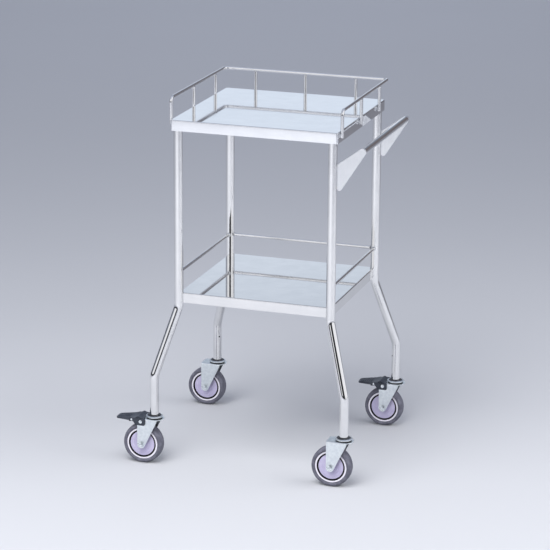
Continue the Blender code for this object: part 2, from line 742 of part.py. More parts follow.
def centre_over_floor(cart):
    """Move the cart so that the middle of its overall box stands over the origin."""
    bpy.context.view_layer.update()
    corners = []
    for item in bpy.context.scene.objects:
        if item.type != "EMPTY" and not item.hide_render:
            corners += [item.matrix_world @ Vector(corner) for corner in item.bound_box]
    for axis in range(2):
        values = [corner[axis] for corner in corners]
        cart.location[axis] = -(min(values) + max(values)) / 2


def main():
    """Build the whole cart."""
    clear_scene()
    materials = make_materials()
    cart = add_empty("cart")
    build_upper_shelf(cart, materials)
    build_lower_shelf(cart, materials)
    build_legs(cart, materials)
    build_guard(cart, materials)
    build_lower_rails(cart, materials)
    build_handle(cart, materials)
    build_casters(cart, materials)
    centre_over_floor(cart)


main()
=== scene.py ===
"""Looks of the instrument cart: smooth sheet, tube, rod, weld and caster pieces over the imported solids.

Sizes are in metres and in the cart's own frame, whose origin is on the floor under the middle of the
upper shelf.
"""

import json
import logging
import math
from collections.abc import Iterable, Sequence
from dataclasses import dataclass, field
from enum import Enum

import bmesh
import bpy
from bmesh.types import BMEdge, BMesh, BMFace, BMVert
from mathutils import Matrix, Vector

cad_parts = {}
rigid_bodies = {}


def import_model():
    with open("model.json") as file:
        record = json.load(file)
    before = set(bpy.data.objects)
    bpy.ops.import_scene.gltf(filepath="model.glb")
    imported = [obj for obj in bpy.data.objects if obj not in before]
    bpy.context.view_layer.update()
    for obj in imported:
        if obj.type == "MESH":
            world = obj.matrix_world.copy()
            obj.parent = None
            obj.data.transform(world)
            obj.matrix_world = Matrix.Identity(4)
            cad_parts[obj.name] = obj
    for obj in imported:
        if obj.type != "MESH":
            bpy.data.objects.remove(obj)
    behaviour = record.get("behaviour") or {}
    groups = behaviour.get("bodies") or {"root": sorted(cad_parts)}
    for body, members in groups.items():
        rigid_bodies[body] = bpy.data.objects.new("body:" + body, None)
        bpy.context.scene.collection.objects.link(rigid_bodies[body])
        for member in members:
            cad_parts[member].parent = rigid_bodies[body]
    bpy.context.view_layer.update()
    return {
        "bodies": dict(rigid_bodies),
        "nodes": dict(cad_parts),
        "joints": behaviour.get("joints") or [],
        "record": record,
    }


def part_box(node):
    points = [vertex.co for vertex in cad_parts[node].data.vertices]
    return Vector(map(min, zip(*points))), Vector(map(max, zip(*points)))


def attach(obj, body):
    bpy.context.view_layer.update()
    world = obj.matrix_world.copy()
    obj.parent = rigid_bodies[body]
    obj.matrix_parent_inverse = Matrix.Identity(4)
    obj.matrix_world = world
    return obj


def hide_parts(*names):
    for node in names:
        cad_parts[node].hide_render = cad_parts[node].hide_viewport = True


LOG = logging.getLogger("instrument_cart")

Colour = tuple[float, float, float]
Point = tuple[float, float]
Place = tuple[float, float, float]
Stops = Sequence[tuple[float, Colour]]
Socket = bpy.types.NodeSocket

MERGE = 1e-6
UP = Vector((0.0, 0.0, 1.0))
ALONG_Y = Matrix.Rotation(math.radians(-90.0), 4, "X")
UPSIDE_DOWN = Matrix.Rotation(math.pi, 4, "X")

# Touching pieces lie this far apart, and welds reach this far into what they join.
SEAT_GAP = 0.0003
WELD_SINK = 0.0002

# A run of weld: its thin places as a share of its radius, the radii from one ripple to the next.
BEAD_NECK = 0.8
BEAD_PITCH = 1.1
BEAD_SIDES = 10
FEWEST_RIPPLES = 3

# The hollow side of a weld fillet and the dome of a rivet, as shares of their width and height.
FILLET_SIDE = ((0.45, 0.22), (0.12, 0.62), (0.0, 1.0))
RIVET_DOME = ((1.0, 0.0), (1.0, 0.3), (0.94, 0.55), (0.78, 0.78), (0.5, 0.94), (0.0, 1.0))


class Slot(Enum):
    """Material slots of the record."""

    POLISHED = "polished_stainless"
    SATIN = "satin_stainless"
    PLATED = "plated_steel"
    RUBBER = "tyre_rubber"
    HUB = "hub_nylon"
    PEDAL = "pedal_nylon"
    RACE = "dark_race"


class Corner(Enum):
    """The cart's corners, by the signs of their X and Y places."""

    FRONT_LEFT = (-1, -1)
    FRONT_RIGHT = (1, -1)
    BACK_LEFT = (-1, 1)
    BACK_RIGHT = (1, 1)

    @property
    def label(self) -> str:
        """The ending of this corner's node names."""
        return self.name.lower()

    @property
    def braked(self) -> bool:
        """Whether this corner's caster has a brake."""
        return self in (Corner.FRONT_LEFT, Corner.BACK_RIGHT)

    def at(self, x: float, y: float, z: float = 0.0) -> Vector:
        """The place at this corner that is so far from the middle of the cart."""
        return Vector((self.value[0] * x, self.value[1] * y, z))


class Plane(Enum):
    """Planes that outlines are drawn in, by their two axes."""

    SIDE = ((1, 0, 0), (0, 0, 1))
    PLAN = ((1, 0, 0), (0, 1, 0))

    def lift(self, point: Point) -> Vector:
        """A point of the plane in space."""
        return Vector(self.value[0]) * point[0] + Vector(self.value[1]) * point[1]

    @property
    def turn(self) -> Vector:
        """The axis that turns the first direction towards the second."""
        return Vector(self.value[0]).cross(Vector(self.value[1]))


class Cut(Enum):
    """Ways to combine two closed meshes."""

    JOIN = "UNION"
    KEEP_COMMON = "INTERSECT"
    TAKE_AWAY = "DIFFERENCE"


class Value:
    """A number socket that Python's operators work on, one Math node for each."""

    def __init__(self, recipe: "Recipe", socket: Socket) -> None:
        """Wrap a socket of a recipe."""
        self.recipe = recipe
        self.socket = socket

    def __add__(self, other: "Value | float") -> "Value":
        """Sum."""
        return self.recipe.math("ADD", self, other)

    def __radd__(self, other: float) -> "Value":
        """Sum with a number in front."""
        return self.recipe.math("ADD", other, self)

    def __sub__(self, other: "Value | float") -> "Value":
        """Difference."""
        return self.recipe.math("SUBTRACT", self, other)

    def __rsub__(self, other: float) -> "Value":
        """Difference from a number in front."""
        return self.recipe.math("SUBTRACT", other, self)

    def __mul__(self, other: "Value | float") -> "Value":
        """Product."""
        return self.recipe.math("MULTIPLY", self, other)

    def __rmul__(self, other: float) -> "Value":
        """Product with a number in front."""
        return self.recipe.math("MULTIPLY", other, self)


class Recipe:
    """The node tree of one finish, of the floor or of the surroundings."""

    def __init__(self, tree: bpy.types.NodeTree) -> None:
        """Work on a tree."""
        self.tree = tree

    def node(self, kind: str, settings: dict | None = None, sockets: dict | None = None) -> bpy.types.Node:
        """Add a node.

        Args:
            kind: Blender's name for the node's type.
            settings: Properties, and the stops of a ramp, which are set first.
            sockets: Values or links of its inputs, by name or number.

        Returns:
            The node.
        """
        node = self.tree.nodes.new(kind)
        for name, setting in (settings or {}).items():
            if name == "stops":
                self.set_stops(node.color_ramp, setting)
            else:
                setattr(node, name, setting)
        for name, value in (sockets or {}).items():
            self.feed(node.inputs[name], value)
        return node

    @staticmethod
    def set_stops(ramp: bpy.types.ColorRamp, stops: Stops) -> None:
        """Give a ramp its stops.

        Args:
            ramp: The ramp.
            stops: Positions and colours, lowest first.
        """
        while len(ramp.elements) < len(stops):
            ramp.elements.new(1.0)
        for element, (position, colour) in zip(ramp.elements, stops):
            element.position = position
            element.color = (*colour, 1.0)

    def feed(self, socket: Socket, value: object) -> None:
        """Link a socket or set its number or colour.

        Args:
            socket: The input.
            value: A value, another socket, a number, a vector or a colour.
        """
        source = value.socket if isinstance(value, Value) else value
        if isinstance(source, Socket):
            self.tree.links.new(source, socket)
        elif isinstance(source, tuple) and len(source) == 3 and socket.type == "RGBA":
            socket.default_value = (*source, 1.0)
        else:
            socket.default_value = source

    def math(self, operation: str, first: Value | float, second: Value | float) -> Value:
        """One Math node on two numbers."""
        node = self.node("ShaderNodeMath", {"operation": operation}, {0: first, 1: second})
        return Value(self, node.outputs[0])

    def noise(self, scale: float, detail: float, stretch: Place = (1.0, 1.0, 1.0)) -> Value:
        """Noise from 0 to 1 on Object coordinates.

        Args:
            scale: How many waves fit in a metre.
            detail: Octaves.
            stretch: Share of the scale along each axis; a small share draws lines along it.

        Returns:
            The noise.
        """
        place = self.node("ShaderNodeTexCoord").outputs["Object"]
        sockets = {"Vector": place, "Scale": stretch}
        stretched = self.node("ShaderNodeMapping", None, sockets).outputs["Vector"]
        sockets = {"Vector": stretched, "Scale": scale, "Detail": detail}
        return Value(self, self.node("ShaderNodeTexNoise", None, sockets).outputs["Fac"])

    def span(self, value: Value, low: float, high: float) -> Value:
        """A smooth step.

        Args:
            value: What steps.
            low: Where the step is 0.
            high: Where it is 1.

        Returns:
            The step.
        """
        sockets = {"Value": value, "From Min": low, "From Max": high}
        node = self.node("ShaderNodeMapRange", {"interpolation_type": "SMOOTHSTEP"}, sockets)
        return Value(self, node.outputs["Result"])

    def blend(self, mask: Value, low: Socket | Colour, high: Socket | Colour) -> Socket:
        """A colour between two, by a mask."""
        node = self.node("ShaderNodeMix", {"data_type": "RGBA"}, {0: mask, 6: low, 7: high})
        return node.outputs[2]

    def ramp(self, value: Value, stops: Stops) -> Socket:
        """A colour from a ramp."""
        return self.node("ShaderNodeValToRGB", {"stops": stops}, {"Fac": value}).outputs["Color"]

    def bump(self, height: Value, strength: float, distance: float) -> Socket:
        """A normal from a height."""
        sockets = {"Strength": strength, "Distance": distance, "Height": height}
        return self.node("ShaderNodeBump", None, sockets).outputs["Normal"]

    def height(self, direction: Socket) -> Value:
        """The Z of a direction."""
        return Value(self, self.node("ShaderNodeSeparateXYZ", None, {"Vector": direction}).outputs["Z"])

    def nearness(self, direction: Socket, middle: Place) -> Value:
        """The cosine of the angle between two directions."""
        node = self.node("ShaderNodeVectorMath", {"operation": "DOT_PRODUCT"}, {0: direction, 1: middle})
        return Value(self, node.outputs["Value"])

    def paint(self, sockets: dict[str, object]) -> None:
        """Set the inputs of the tree's main shader."""
        for name, value in sockets.items():
            self.feed(self.tree.nodes["Principled BSDF"].inputs[name], value)


@dataclass(frozen=True)
class Finish:
    """What all finishes have: a name, a slot and a way to mix their nodes."""

    name: str
    slot: Slot

    def mix(self, recipe: Recipe) -> None:
        """Fill a recipe; each kind of finish has its own way."""
        raise NotImplementedError


@dataclass(frozen=True)
class RolledSteel(Finish):
    """Stainless steel with the fine lines of its polishing, faint smudges and slow changes of tone."""

    bright: Colour = (0.86, 0.87, 0.885)
    dull: Colour = (0.80, 0.81, 0.83)
    roughness: float = 0.07
    line_depth: float = 0.03
    smudge_depth: float = 0.05
    lines: Place = (0.01, 1.0, 1.0)
    line_scale: float = 900.0
    line_share: float = 0.4
    line_height: float = 0.0002
    relief: float = 0.02
    smudge_scale: float = 11.0
    smudge_range: Point = (0.45, 0.75)
    tone_scale: float = 26.0
    tone_range: Point = (0.3, 0.7)

    def mix(self, recipe: Recipe) -> None:
        """Put lines and smudges in colour, roughness and relief.

        Args:
            recipe: The nodes to fill.
        """
        lines = recipe.noise(self.line_scale, detail=2.0, stretch=self.lines)
        smudges = recipe.span(recipe.noise(self.smudge_scale, detail=4.0), *self.smudge_range)
        tone = recipe.noise(self.tone_scale, detail=3.0) * (1.0 - self.line_share) + lines * self.line_share
        recipe.paint({
            "Base Color": recipe.blend(recipe.span(tone, *self.tone_range), self.dull, self.bright),
            "Metallic": 1.0,
            "Roughness": lines * self.line_depth + smudges * self.smudge_depth + self.roughness,
            "Normal": recipe.bump(lines, self.relief, self.line_height),
        })


@dataclass(frozen=True)
class PlatedSteel(Finish):
    """Zinc-plated pressings: a soft sheen with cloudy spangle and fine scuffs."""

    bright: Colour = (0.91, 0.96, 0.975)
    dull: Colour = (0.82, 0.87, 0.895)
    roughness: float = 0.26
    cloud_scale: float = 140.0
    cloud_range: Point = (0.35, 0.65)
    cloud_depth: float = 0.12
    scuffs: Place = (1.0, 1.0, 0.12)
    scuff_scale: float = 420.0
    scuff_range: Point = (0.58, 0.72)
    scuff_depth: float = 0.10
    scuff_share: float = 0.4
    relief: float = 0.05
    relief_height: float = 0.0004

    def mix(self, recipe: Recipe) -> None:
        """Put clouds in colour and roughness, scuffs in roughness and relief.

        Args:
            recipe: The nodes to fill.
        """
        clouds = recipe.noise(self.cloud_scale, detail=4.0)
        scratches = recipe.noise(self.scuff_scale, detail=3.0, stretch=self.scuffs)
        scuffs = recipe.span(scratches, *self.scuff_range)
        relief = clouds + scuffs * self.scuff_share
        recipe.paint({
            "Base Color": recipe.blend(recipe.span(clouds, *self.cloud_range), self.dull, self.bright),
            "Metallic": 1.0,
            "Roughness": clouds * self.cloud_depth + scuffs * self.scuff_depth + self.roughness,
            "Normal": recipe.bump(relief, self.relief, self.relief_height),
        })


@dataclass(frozen=True)
class WeldBead(Finish):
    """Bright weld metal: rippled, brushed after welding, faintly straw-coloured in places."""

    bright: Colour = (0.80, 0.81, 0.83)
    straw: Colour = (0.66, 0.60, 0.50)
    roughness: float = 0.22
    ripple_scale: float = 1500.0
    ripple_depth: float = 0.15
    ripple_height: float = 0.0004
    relief: float = 0.25
    heat_scale: float = 220.0
    heat_range: Point = (0.55, 0.80)
    heat_share: float = 0.6

    def mix(self, recipe: Recipe) -> None:
        """Put ripples in relief and heat colour in patches.

        Args:
            recipe: The nodes to fill.
        """
        ripples = recipe.noise(self.ripple_scale, detail=2.0)
        heat = recipe.span(recipe.noise(self.heat_scale, detail=2.0), *self.heat_range)
        recipe.paint({
            "Base Color": recipe.blend(heat * self.heat_share, self.bright, self.straw),
            "Metallic": 1.0,
            "Roughness": ripples * self.ripple_depth + self.roughness,
            "Normal": recipe.bump(ripples, self.relief, self.ripple_height),
        })


@dataclass(frozen=True)
class MouldedNylon(Finish):
    """Moulded plastic with a fine grain, slow changes of tone and rubbed spots."""

    base: Colour = (0.5, 0.5, 0.5)
    rubbed: Colour = (0.6, 0.6, 0.6)
    roughness: float = 0.42
    specular: float = 0.45
    grain_scale: float = 900.0
    grain_share: float = 0.3
    grain_depth: float = 0.10
    grain_height: float = 0.0003
    relief: float = 0.10
    tone_scale: float = 60.0
    rubbed_range: Point = (0.42, 0.62)
    rubbed_depth: float = -0.06

    def mix(self, recipe: Recipe) -> None:
        """Put grain in relief, tone and rubbing in colour and roughness.

        Args:
            recipe: The nodes to fill.
        """
        grain = recipe.noise(self.grain_scale, detail=2.0)
        tone = recipe.noise(self.tone_scale, detail=3.0) * (1.0 - self.grain_share) + grain * self.grain_share
        rubbed = recipe.span(tone, *self.rubbed_range)
        recipe.paint({
            "Base Color": recipe.blend(rubbed, self.base, self.rubbed),
            "Roughness": grain * self.grain_depth + rubbed * self.rubbed_depth + self.roughness,
            "Normal": recipe.bump(grain, self.relief, self.grain_height),
            "Specular IOR Level": self.specular,
        })


@dataclass(frozen=True)
class TyreRubber(Finish):
    """Grey rubber: dusty where it has rolled, with fine moulding grain."""

    base: Colour = (0.105, 0.106, 0.138)
    dust: Colour = (0.165, 0.166, 0.208)
    roughness: float = 0.62
    specular: float = 0.40
    dust_scale: float = 95.0
    dust_range: Point = (0.38, 0.68)
    dust_depth: float = 0.14
    dust_share: float = 0.5
    grain_scale: float = 1300.0
    grain_depth: float = 0.06
    grain_height: float = 0.0004
    relief: float = 0.18

    def mix(self, recipe: Recipe) -> None:
        """Put dust in colour and roughness, grain in relief.

        Args:
            recipe: The nodes to fill.
        """
        dust = recipe.span(recipe.noise(self.dust_scale, detail=5.0), *self.dust_range)
        grain = recipe.noise(self.grain_scale, detail=2.0)
        recipe.paint({
            "Base Color": recipe.blend(dust, self.base, self.dust),
            "Roughness": dust * self.dust_depth + grain * self.grain_depth + self.roughness,
            "Normal": recipe.bump(grain + dust * self.dust_share, self.relief, self.grain_height),
            "Specular IOR Level": self.specular,
        })


@dataclass(frozen=True)
class StudioFloor:
    """A plain floor with the faintest unevenness."""

    pale: Colour = (0.50, 0.510, 0.540)
    shade: Colour = (0.485, 0.495, 0.525)
    roughness: float = 0.65
    specular: float = 0.2
    tone_scale: float = 1.4
    tone_depth: float = 0.08

    def mix(self, recipe: Recipe) -> None:
        """Put slow changes of tone in colour and roughness.

        Args:
            recipe: The nodes to fill.
        """
        tone = recipe.noise(self.tone_scale, detail=2.0)
        recipe.paint({
            "Base Color": recipe.blend(tone, self.shade, self.pale),
            "Roughness": tone * self.tone_depth + self.roughness,
            "Specular IOR Level": self.specular,
        })


SHELF_STEEL = RolledSteel("shelf_steel", Slot.POLISHED, roughness=0.03, line_depth=0.02, smudge_depth=0.03)
# Painted shade: a darker copy of the shelf steel, for the lower shelf's dimmer reflection.
LOWER_SHADED_STEEL = RolledSteel(
    "lower_shelf_steel", Slot.POLISHED, (0.85, 0.845, 0.84), (0.78, 0.78, 0.78), 0.03,
    line_depth=0.02, smudge_depth=0.03,
)
TUBE_STEEL = RolledSteel(
    "tube_steel", Slot.POLISHED, (0.86, 0.86, 0.86), (0.79, 0.79, 0.79), 0.04, lines=(1.0, 1.0, 0.01),
)
ROD_STEEL = RolledSteel(
    "rod_steel", Slot.POLISHED, (0.94, 0.94, 0.94), (0.88, 0.88, 0.88), 0.10,
    lines=(0.6, 0.6, 0.6), line_scale=500.0,
)
PLATE_STEEL = RolledSteel(
    "plate_steel", Slot.SATIN, (0.90, 0.91, 0.92), (0.84, 0.85, 0.865), 0.24,
    line_depth=0.12, lines=(1.0, 1.0, 0.015), line_scale=700.0, relief=0.06,
)
WELD_METAL = WeldBead("weld_metal", Slot.SATIN)
CASTER_STEEL = PlatedSteel("caster_steel", Slot.PLATED)
# Painted shade: a near-black plating for the cap's shoulder round the leg's foot.
SHOULDER_PAINTED_SHADE = PlatedSteel("oiled_steel", Slot.PLATED, (0.17, 0.17, 0.18), (0.08, 0.08, 0.085), 0.34)
# Painted shade: a darker plating for the fork's inside faces, standing in for the shade between the cheeks.
FORK_INSIDE_PAINTED_SHADE = PlatedSteel("inner_steel", Slot.PLATED, (0.40, 0.42, 0.43), (0.31, 0.33, 0.34), 0.36)
FASTENER_STEEL = PlatedSteel("fastener_steel", Slot.PLATED, roughness=0.18)
DISC_NYLON = MouldedNylon("disc_nylon", Slot.HUB, (0.48, 0.445, 0.63), (0.535, 0.50, 0.68), 0.38)
RIM_NYLON = MouldedNylon("rim_nylon", Slot.HUB, (0.80, 0.78, 0.86), (0.86, 0.84, 0.91), 0.36)
# Painted shade: near-black for the hub's groove, whose moulding is really the hub's colour.
GROOVE_PAINTED_SHADE = MouldedNylon("groove_shade", Slot.RACE, (0.012, 0.011, 0.014), (0.020, 0.018, 0.022), 0.55)
PEDAL_NYLON = MouldedNylon("pedal_nylon_skin", Slot.PEDAL, (0.026, 0.032, 0.046), (0.045, 0.053, 0.070), 0.40)
# Painted shade: near-black for the bearing ring, standing in for the shaded gap between cap and crown.
RACE_PAINTED_SHADE = MouldedNylon("race_seal", Slot.RACE, (0.018, 0.018, 0.020), (0.030, 0.030, 0.033), 0.45)
SCREW_BLACK = PlatedSteel("screw_black", Slot.RACE, (0.05, 0.05, 0.055), (0.02, 0.02, 0.022), 0.35)
WHEEL_RUBBER = TyreRubber("wheel_rubber", Slot.RUBBER)
SHOE_RUBBER = TyreRubber("shoe_rubber", Slot.RUBBER, (0.02, 0.02, 0.022), (0.035, 0.035, 0.038))


class Palette:
    """Materials, each made once for its finish."""

    def __init__(self) -> None:
        """Start with none."""
        self.made: dict[str, bpy.types.Material] = {}

    def material(self, finish: Finish | StudioFloor, name: str) -> bpy.types.Material:
        """The material of a finish.

        Args:
            finish: What mixes the nodes.
            name: The material's name.

        Returns:
            The material, new the first time.
        """
        if name not in self.made:
            material = bpy.data.materials.new(name)
            material.use_nodes = True
            finish.mix(Recipe(material.node_tree))
            self.made[name] = material
        return self.made[name]


def picked(items: Iterable[object], kind: type) -> list:
    """The items of one kind in what an operator returns."""
    return [item for item in items if isinstance(item, kind)]


def turn_to(heading: Vector) -> Matrix:
    """The turn that takes Z to a heading."""
    return UP.rotation_difference(heading).to_matrix().to_4x4()


class Pen:
    """Draws a chain of edges in a plane, one stroke after another."""

    def __init__(self, form: BMesh, plane: Plane, start: Point) -> None:
        """Set the pen down.

        Args:
            form: The mesh to draw in.
            plane: The plane of the outline.
            start: Where it starts.
        """
        self.form = form
        self.plane = plane
        self.first = form.verts.new(plane.lift(start))
        self.tip = self.first

    def line(self, *points: Point) -> "Pen":
        """Draw straight strokes.

        Args:
            points: Where they lead.

        Returns:
            The pen.
        """
        for point in points:
            self.tip = bmesh.ops.extrude_vert_indiv(self.form, verts=[self.tip])["verts"][0]
            self.tip.co = self.plane.lift(point)
        return self

    def arc(self, centre: Point, degrees: float, steps: int) -> "Pen":
        """Draw an arc.

        Args:
            centre: Its middle.
            degrees: Its angle; a positive one turns the first axis towards the second.
            steps: Strokes along it.

        Returns:
            The pen.
        """
        grown = bmesh.ops.spin(
            self.form, geom=[self.tip], cent=self.plane.lift(centre), axis=self.plane.turn,
            angle=math.radians(degrees), steps=steps,
        )
        self.tip = picked(grown["geom_last"], BMVert)[0]
        return self

    def close(self) -> list[BMEdge]:
        """Join the tip to the start and return all edges of the form."""
        bmesh.ops.contextual_create(self.form, geom=[self.tip, self.first])
        return list(self.form.edges)

    def fill(self) -> BMFace:
        """Close the outline and lay a face in it."""
        return bmesh.ops.contextual_create(self.form, geom=self.close())["faces"][0]


class TubeRun:
    """A round section that is drawn out along straights and swung round bends."""

    def __init__(self, form: BMesh, start: Vector, heading: Vector, radius: float, sides: int) -> None:
        """Lay down the first ring.

        Args:
            form: The mesh to work in.
            start: The ring's middle.
            heading: Which way the run goes.
            radius: Radius of the section.
            sides: Facets round the section.
        """
        self.form = form
        self.place = start.copy()
        self.heading = heading.normalized()
        ring = bmesh.ops.create_circle(
            form, cap_ends=False, segments=sides, radius=radius,
            matrix=Matrix.Translation(start) @ turn_to(self.heading),
        )["verts"]
        self.first = list({edge for vert in ring for edge in vert.link_edges})
        self.last = self.first

    def ahead(self, length: float) -> "TubeRun":
        """Draw the section straight on.

        Args:
            length: How far.

        Returns:
            The run.
        """
        grown = bmesh.ops.extrude_edge_only(self.form, edges=self.last)["geom"]
        rim = picked(grown, BMVert)
        self.last = [edge for edge in picked(grown, BMEdge) if all(vert in rim for vert in edge.verts)]
        bmesh.ops.translate(self.form, verts=rim, vec=self.heading * length)
        self.place += self.heading * length
        return self

    def swing(self, heading: Vector, radius: float, steps: int) -> "TubeRun":
        """Swing the section round a bend.

        Args:
            heading: Which way the run goes on.
            radius: Radius of the bend's middle line.
            steps: Facets along the bend.

        Returns:
            The run.
        """
        axis = self.heading.cross(heading).normalized()
        centre = self.place + axis.cross(self.heading) * radius
        angle = self.heading.angle(heading)
        grown = bmesh.ops.spin(self.form, geom=self.last, cent=centre, axis=axis, angle=angle, steps=steps)
        self.last = picked(grown["geom_last"], BMEdge)
        turn = Matrix.Rotation(angle, 3, axis)
        self.place = centre + turn @ (self.place - centre)
        self.heading = heading.normalized()
        return self

    def widen(self, share: float) -> "TubeRun":
        """Scale the last ring about its middle.

        Args:
            share: Its new radius as a share of the old one.

        Returns:
            The run.
        """
        rim = list({vert for edge in self.last for vert in edge.verts})
        bmesh.ops.scale(self.form, verts=rim, vec=(share,) * 3, space=Matrix.Translation(-self.place))
        return self

    def cap(self, rounding: float) -> BMesh:
        """Close both ends.

        Args:
            rounding: Radius of their rims, or nothing.

        Returns:
            The closed form.
        """
        for rim in (self.first, self.last):
            bmesh.ops.contextual_create(self.form, geom=rim)
        if rounding:
            soften(self.form, self.first + self.last, rounding, steps=2)
        return close_up(self.form)


def soften(form: BMesh, parts: Iterable[BMEdge | BMVert], reach: float, steps: int) -> None:
    """Round edges of a form, or corners of a flat one.

    Args:
        form: The mesh.
        parts: The edges, or the vertices at the corners.
        reach: How far the rounding reaches on each side.
        steps: Facets across the rounding.
    """
    chosen = list(parts)
    bmesh.ops.bevel(
        form, geom=chosen, offset=reach, offset_type="OFFSET", segments=steps, profile=0.5,
        affect="VERTICES" if isinstance(chosen[0], BMVert) else "EDGES", material=-1, clamp_overlap=True,
    )


def sharp_edges(form: BMesh, degrees: float) -> list[BMEdge]:
    """Edges whose faces meet at more than an angle."""
    limit = math.radians(degrees)
    return [edge for edge in form.edges if len(edge.link_faces) == 2 and edge.calc_face_angle() > limit]


def close_up(form: BMesh) -> BMesh:
    """Merge doubles and turn all faces outwards.

    Args:
        form: The mesh.

    Returns:
        The form.
    """
    bmesh.ops.remove_doubles(form, verts=form.verts, dist=MERGE)
    bmesh.ops.recalc_face_normals(form, faces=form.faces)
    return form


def moved(form: BMesh, *steps: Matrix) -> BMesh:
    """Apply transforms to a form.

    Args:
        form: The mesh.
        steps: The transforms, first one first.

    Returns:
        The form.
    """
    for step in steps:
        bmesh.ops.transform(form, matrix=step, verts=form.verts)
    return form


def tube(
    corners: Sequence[Sequence[float]], radius: float, sides: int, rounding: float = 0.0, bend: float = 0.0,
    steps: int = 1,
) -> BMesh:
    """A round bar with closed ends along a path of straights and bends.

    Args:
        corners: Ends and virtual corners of the path.
        radius: Radius of the section.
        sides: Facets round the section.
        rounding: Radius of the end rims, or nothing.
        bend: Radius of the middle line at each bend.
        steps: Facets along each bend.

    Returns:
        The closed form.
    """
    points = [Vector(corner) for corner in corners]
    headings = [(after - before).normalized() for before, after in zip(points, points[1:])]
    setbacks = [bend * math.tan(a.angle(b) / 2) for a, b in zip(headings, headings[1:])] + [0.0]
    run = TubeRun(bmesh.new(), points[0], headings[0], radius, sides)
    used = 0.0
    for index, setback in enumerate(setbacks):
        run.ahead((points[index + 1] - points[index]).length - used - setback)
        if index + 1 < len(headings):
            run.swing(headings[index + 1], bend, steps)
        used = setback
    return run.cap(rounding)


def cylinder(radius: float, depth: float, segments: int, place: Matrix) -> BMesh:
    """A closed cylinder along Z.

    Args:
        radius: Its radius.
        depth: Its length, half of it on each side.
        segments: Facets round it.
        place: Where it goes.

    Returns:
        The closed form.
    """
    form = bmesh.new()
    bmesh.ops.create_cone(
        form, cap_ends=True, segments=segments, radius1=radius, radius2=radius, depth=depth, matrix=place,
    )
    return form


def turned(form: BMesh, steps: int) -> BMesh:
    """Spin all edges of a form, drawn in the side plane, round Z.

    Args:
        form: The mesh with half the section.
        steps: Facets round Z.

    Returns:
        The form.
    """
    bmesh.ops.spin(
        form, geom=[*form.verts, *form.edges], cent=(0, 0, 0), axis=UP, angle=2 * math.pi, steps=steps,
        use_merge=True,
    )
    return close_up(form)


def mirrored(form: BMesh) -> BMesh:
    """Complete a form that stands on the plane Z = 0 with its mirror image.

    Args:
        form: The upper half.

    Returns:
        The form.
    """
    geometry = [*form.verts, *form.edges, *form.faces]
    bmesh.ops.mirror(form, geom=geometry, axis="Z", merge_dist=MERGE)
    return close_up(form)


def drawn_out(form: BMesh, faces: Sequence[BMFace], depth: Sequence[float]) -> BMesh:
    """Draw faces out.

    Args:
        form: The mesh.
        faces: What is drawn out.
        depth: How far and which way.

    Returns:
        The form.
    """
    grown = bmesh.ops.extrude_face_region(form, geom=list(faces))["geom"]
    bmesh.ops.translate(form, verts=picked(grown, BMVert), vec=depth)
    return form


def slab(form: BMesh, face: BMFace, half: Vector) -> BMesh:
    """Make an outline into a closed block that reaches as far to both of its sides.

    Args:
        form: The mesh.
        face: The outline.
        half: How far and which way, for the far side.

    Returns:
        The form.
    """
    return moved(close_up(drawn_out(form, [face], 2 * half)), Matrix.Translation(-half))


def as_mesh(form: BMesh, name: str) -> bpy.types.Mesh:
    """The mesh of a form, which is used up.

    Args:
        form: The form.
        name: The mesh's name.

    Returns:
        The mesh.
    """
    mesh = bpy.data.meshes.new(name)
    form.to_mesh(mesh)
    form.free()
    return mesh


def linked(name: str, data: bpy.types.ID) -> bpy.types.Object:
    """A new object in the scene.

    Args:
        name: Its name.
        data: Its mesh, lamp or camera.

    Returns:
        The object.
    """
    item = bpy.data.objects.new(name, data)
    bpy.context.scene.collection.objects.link(item)
    return item


def joined(*forms: BMesh) -> BMesh:
    """All forms in one.

    Args:
        forms: The forms; all but the first are used up.

    Returns:
        The first form with the others in it.
    """
    for extra in forms[1:]:
        mesh = as_mesh(extra, "loose")
        forms[0].from_mesh(mesh)
        bpy.data.meshes.remove(mesh)
    return forms[0]


def combined(form: BMesh, tool: BMesh, cut: Cut) -> BMesh:
    """A Boolean of two closed forms; both are used up.

    Args:
        form: What is worked on.
        tool: What cuts it.
        cut: The way to combine them.

    Returns:
        The result.
    """
    target, cutter = (linked("loose", as_mesh(shape, "loose")) for shape in (form, tool))
    step = target.modifiers.new("cut", "BOOLEAN")
    step.operation = cut.value
    step.solver = "EXACT"
    step.object = cutter
    graph = bpy.context.evaluated_depsgraph_get()
    mesh = bpy.data.meshes.new_from_object(target.evaluated_get(graph))
    result = bmesh.new()
    result.from_mesh(mesh)
    for used in (target.data, cutter.data, mesh):
        bpy.data.meshes.remove(used)
    return result


def touch_angle(centre: Point, radius: float, point: Point, side: int) -> float:
    """Where a line from an outside point touches a circle.

    Args:
        centre: The circle's middle.
        radius: Its radius.
        point: The outside point.
        side: 1 for the touch point anticlockwise of the point, -1 for the other.

    Returns:
        The angle on the circle, in degrees.
    """
    dx, dz = point[0] - centre[0], point[1] - centre[1]
    return math.degrees(math.atan2(dz, dx) + side * math.acos(radius / math.hypot(dx, dz)))


def on_circle(centre: Point, radius: float, degrees: float) -> Point:
    """A point on a circle."""
    angle = math.radians(degrees)
    return centre[0] + radius * math.cos(angle), centre[1] + radius * math.sin(angle)


def bead(start: Sequence[float], end: Sequence[float], radius: float) -> BMesh:
    """A rippled run of weld from one point to another.

    Args:
        start: Where it begins.
        end: Where it ends.
        radius: Its radius.

    Returns:
        The closed form.
    """
    reach = Vector(end) - Vector(start)
    ripples = max(FEWEST_RIPPLES, round(reach.length / (BEAD_PITCH * radius)))
    run = TubeRun(bmesh.new(), Vector(start), reach, radius * BEAD_NECK, BEAD_SIDES)
    for index in range(ripples):
        run.ahead(reach.length / ripples)
        run.widen(BEAD_NECK if index % 2 else 1.0 / BEAD_NECK)
    return run.cap(radius * BEAD_NECK / 2)


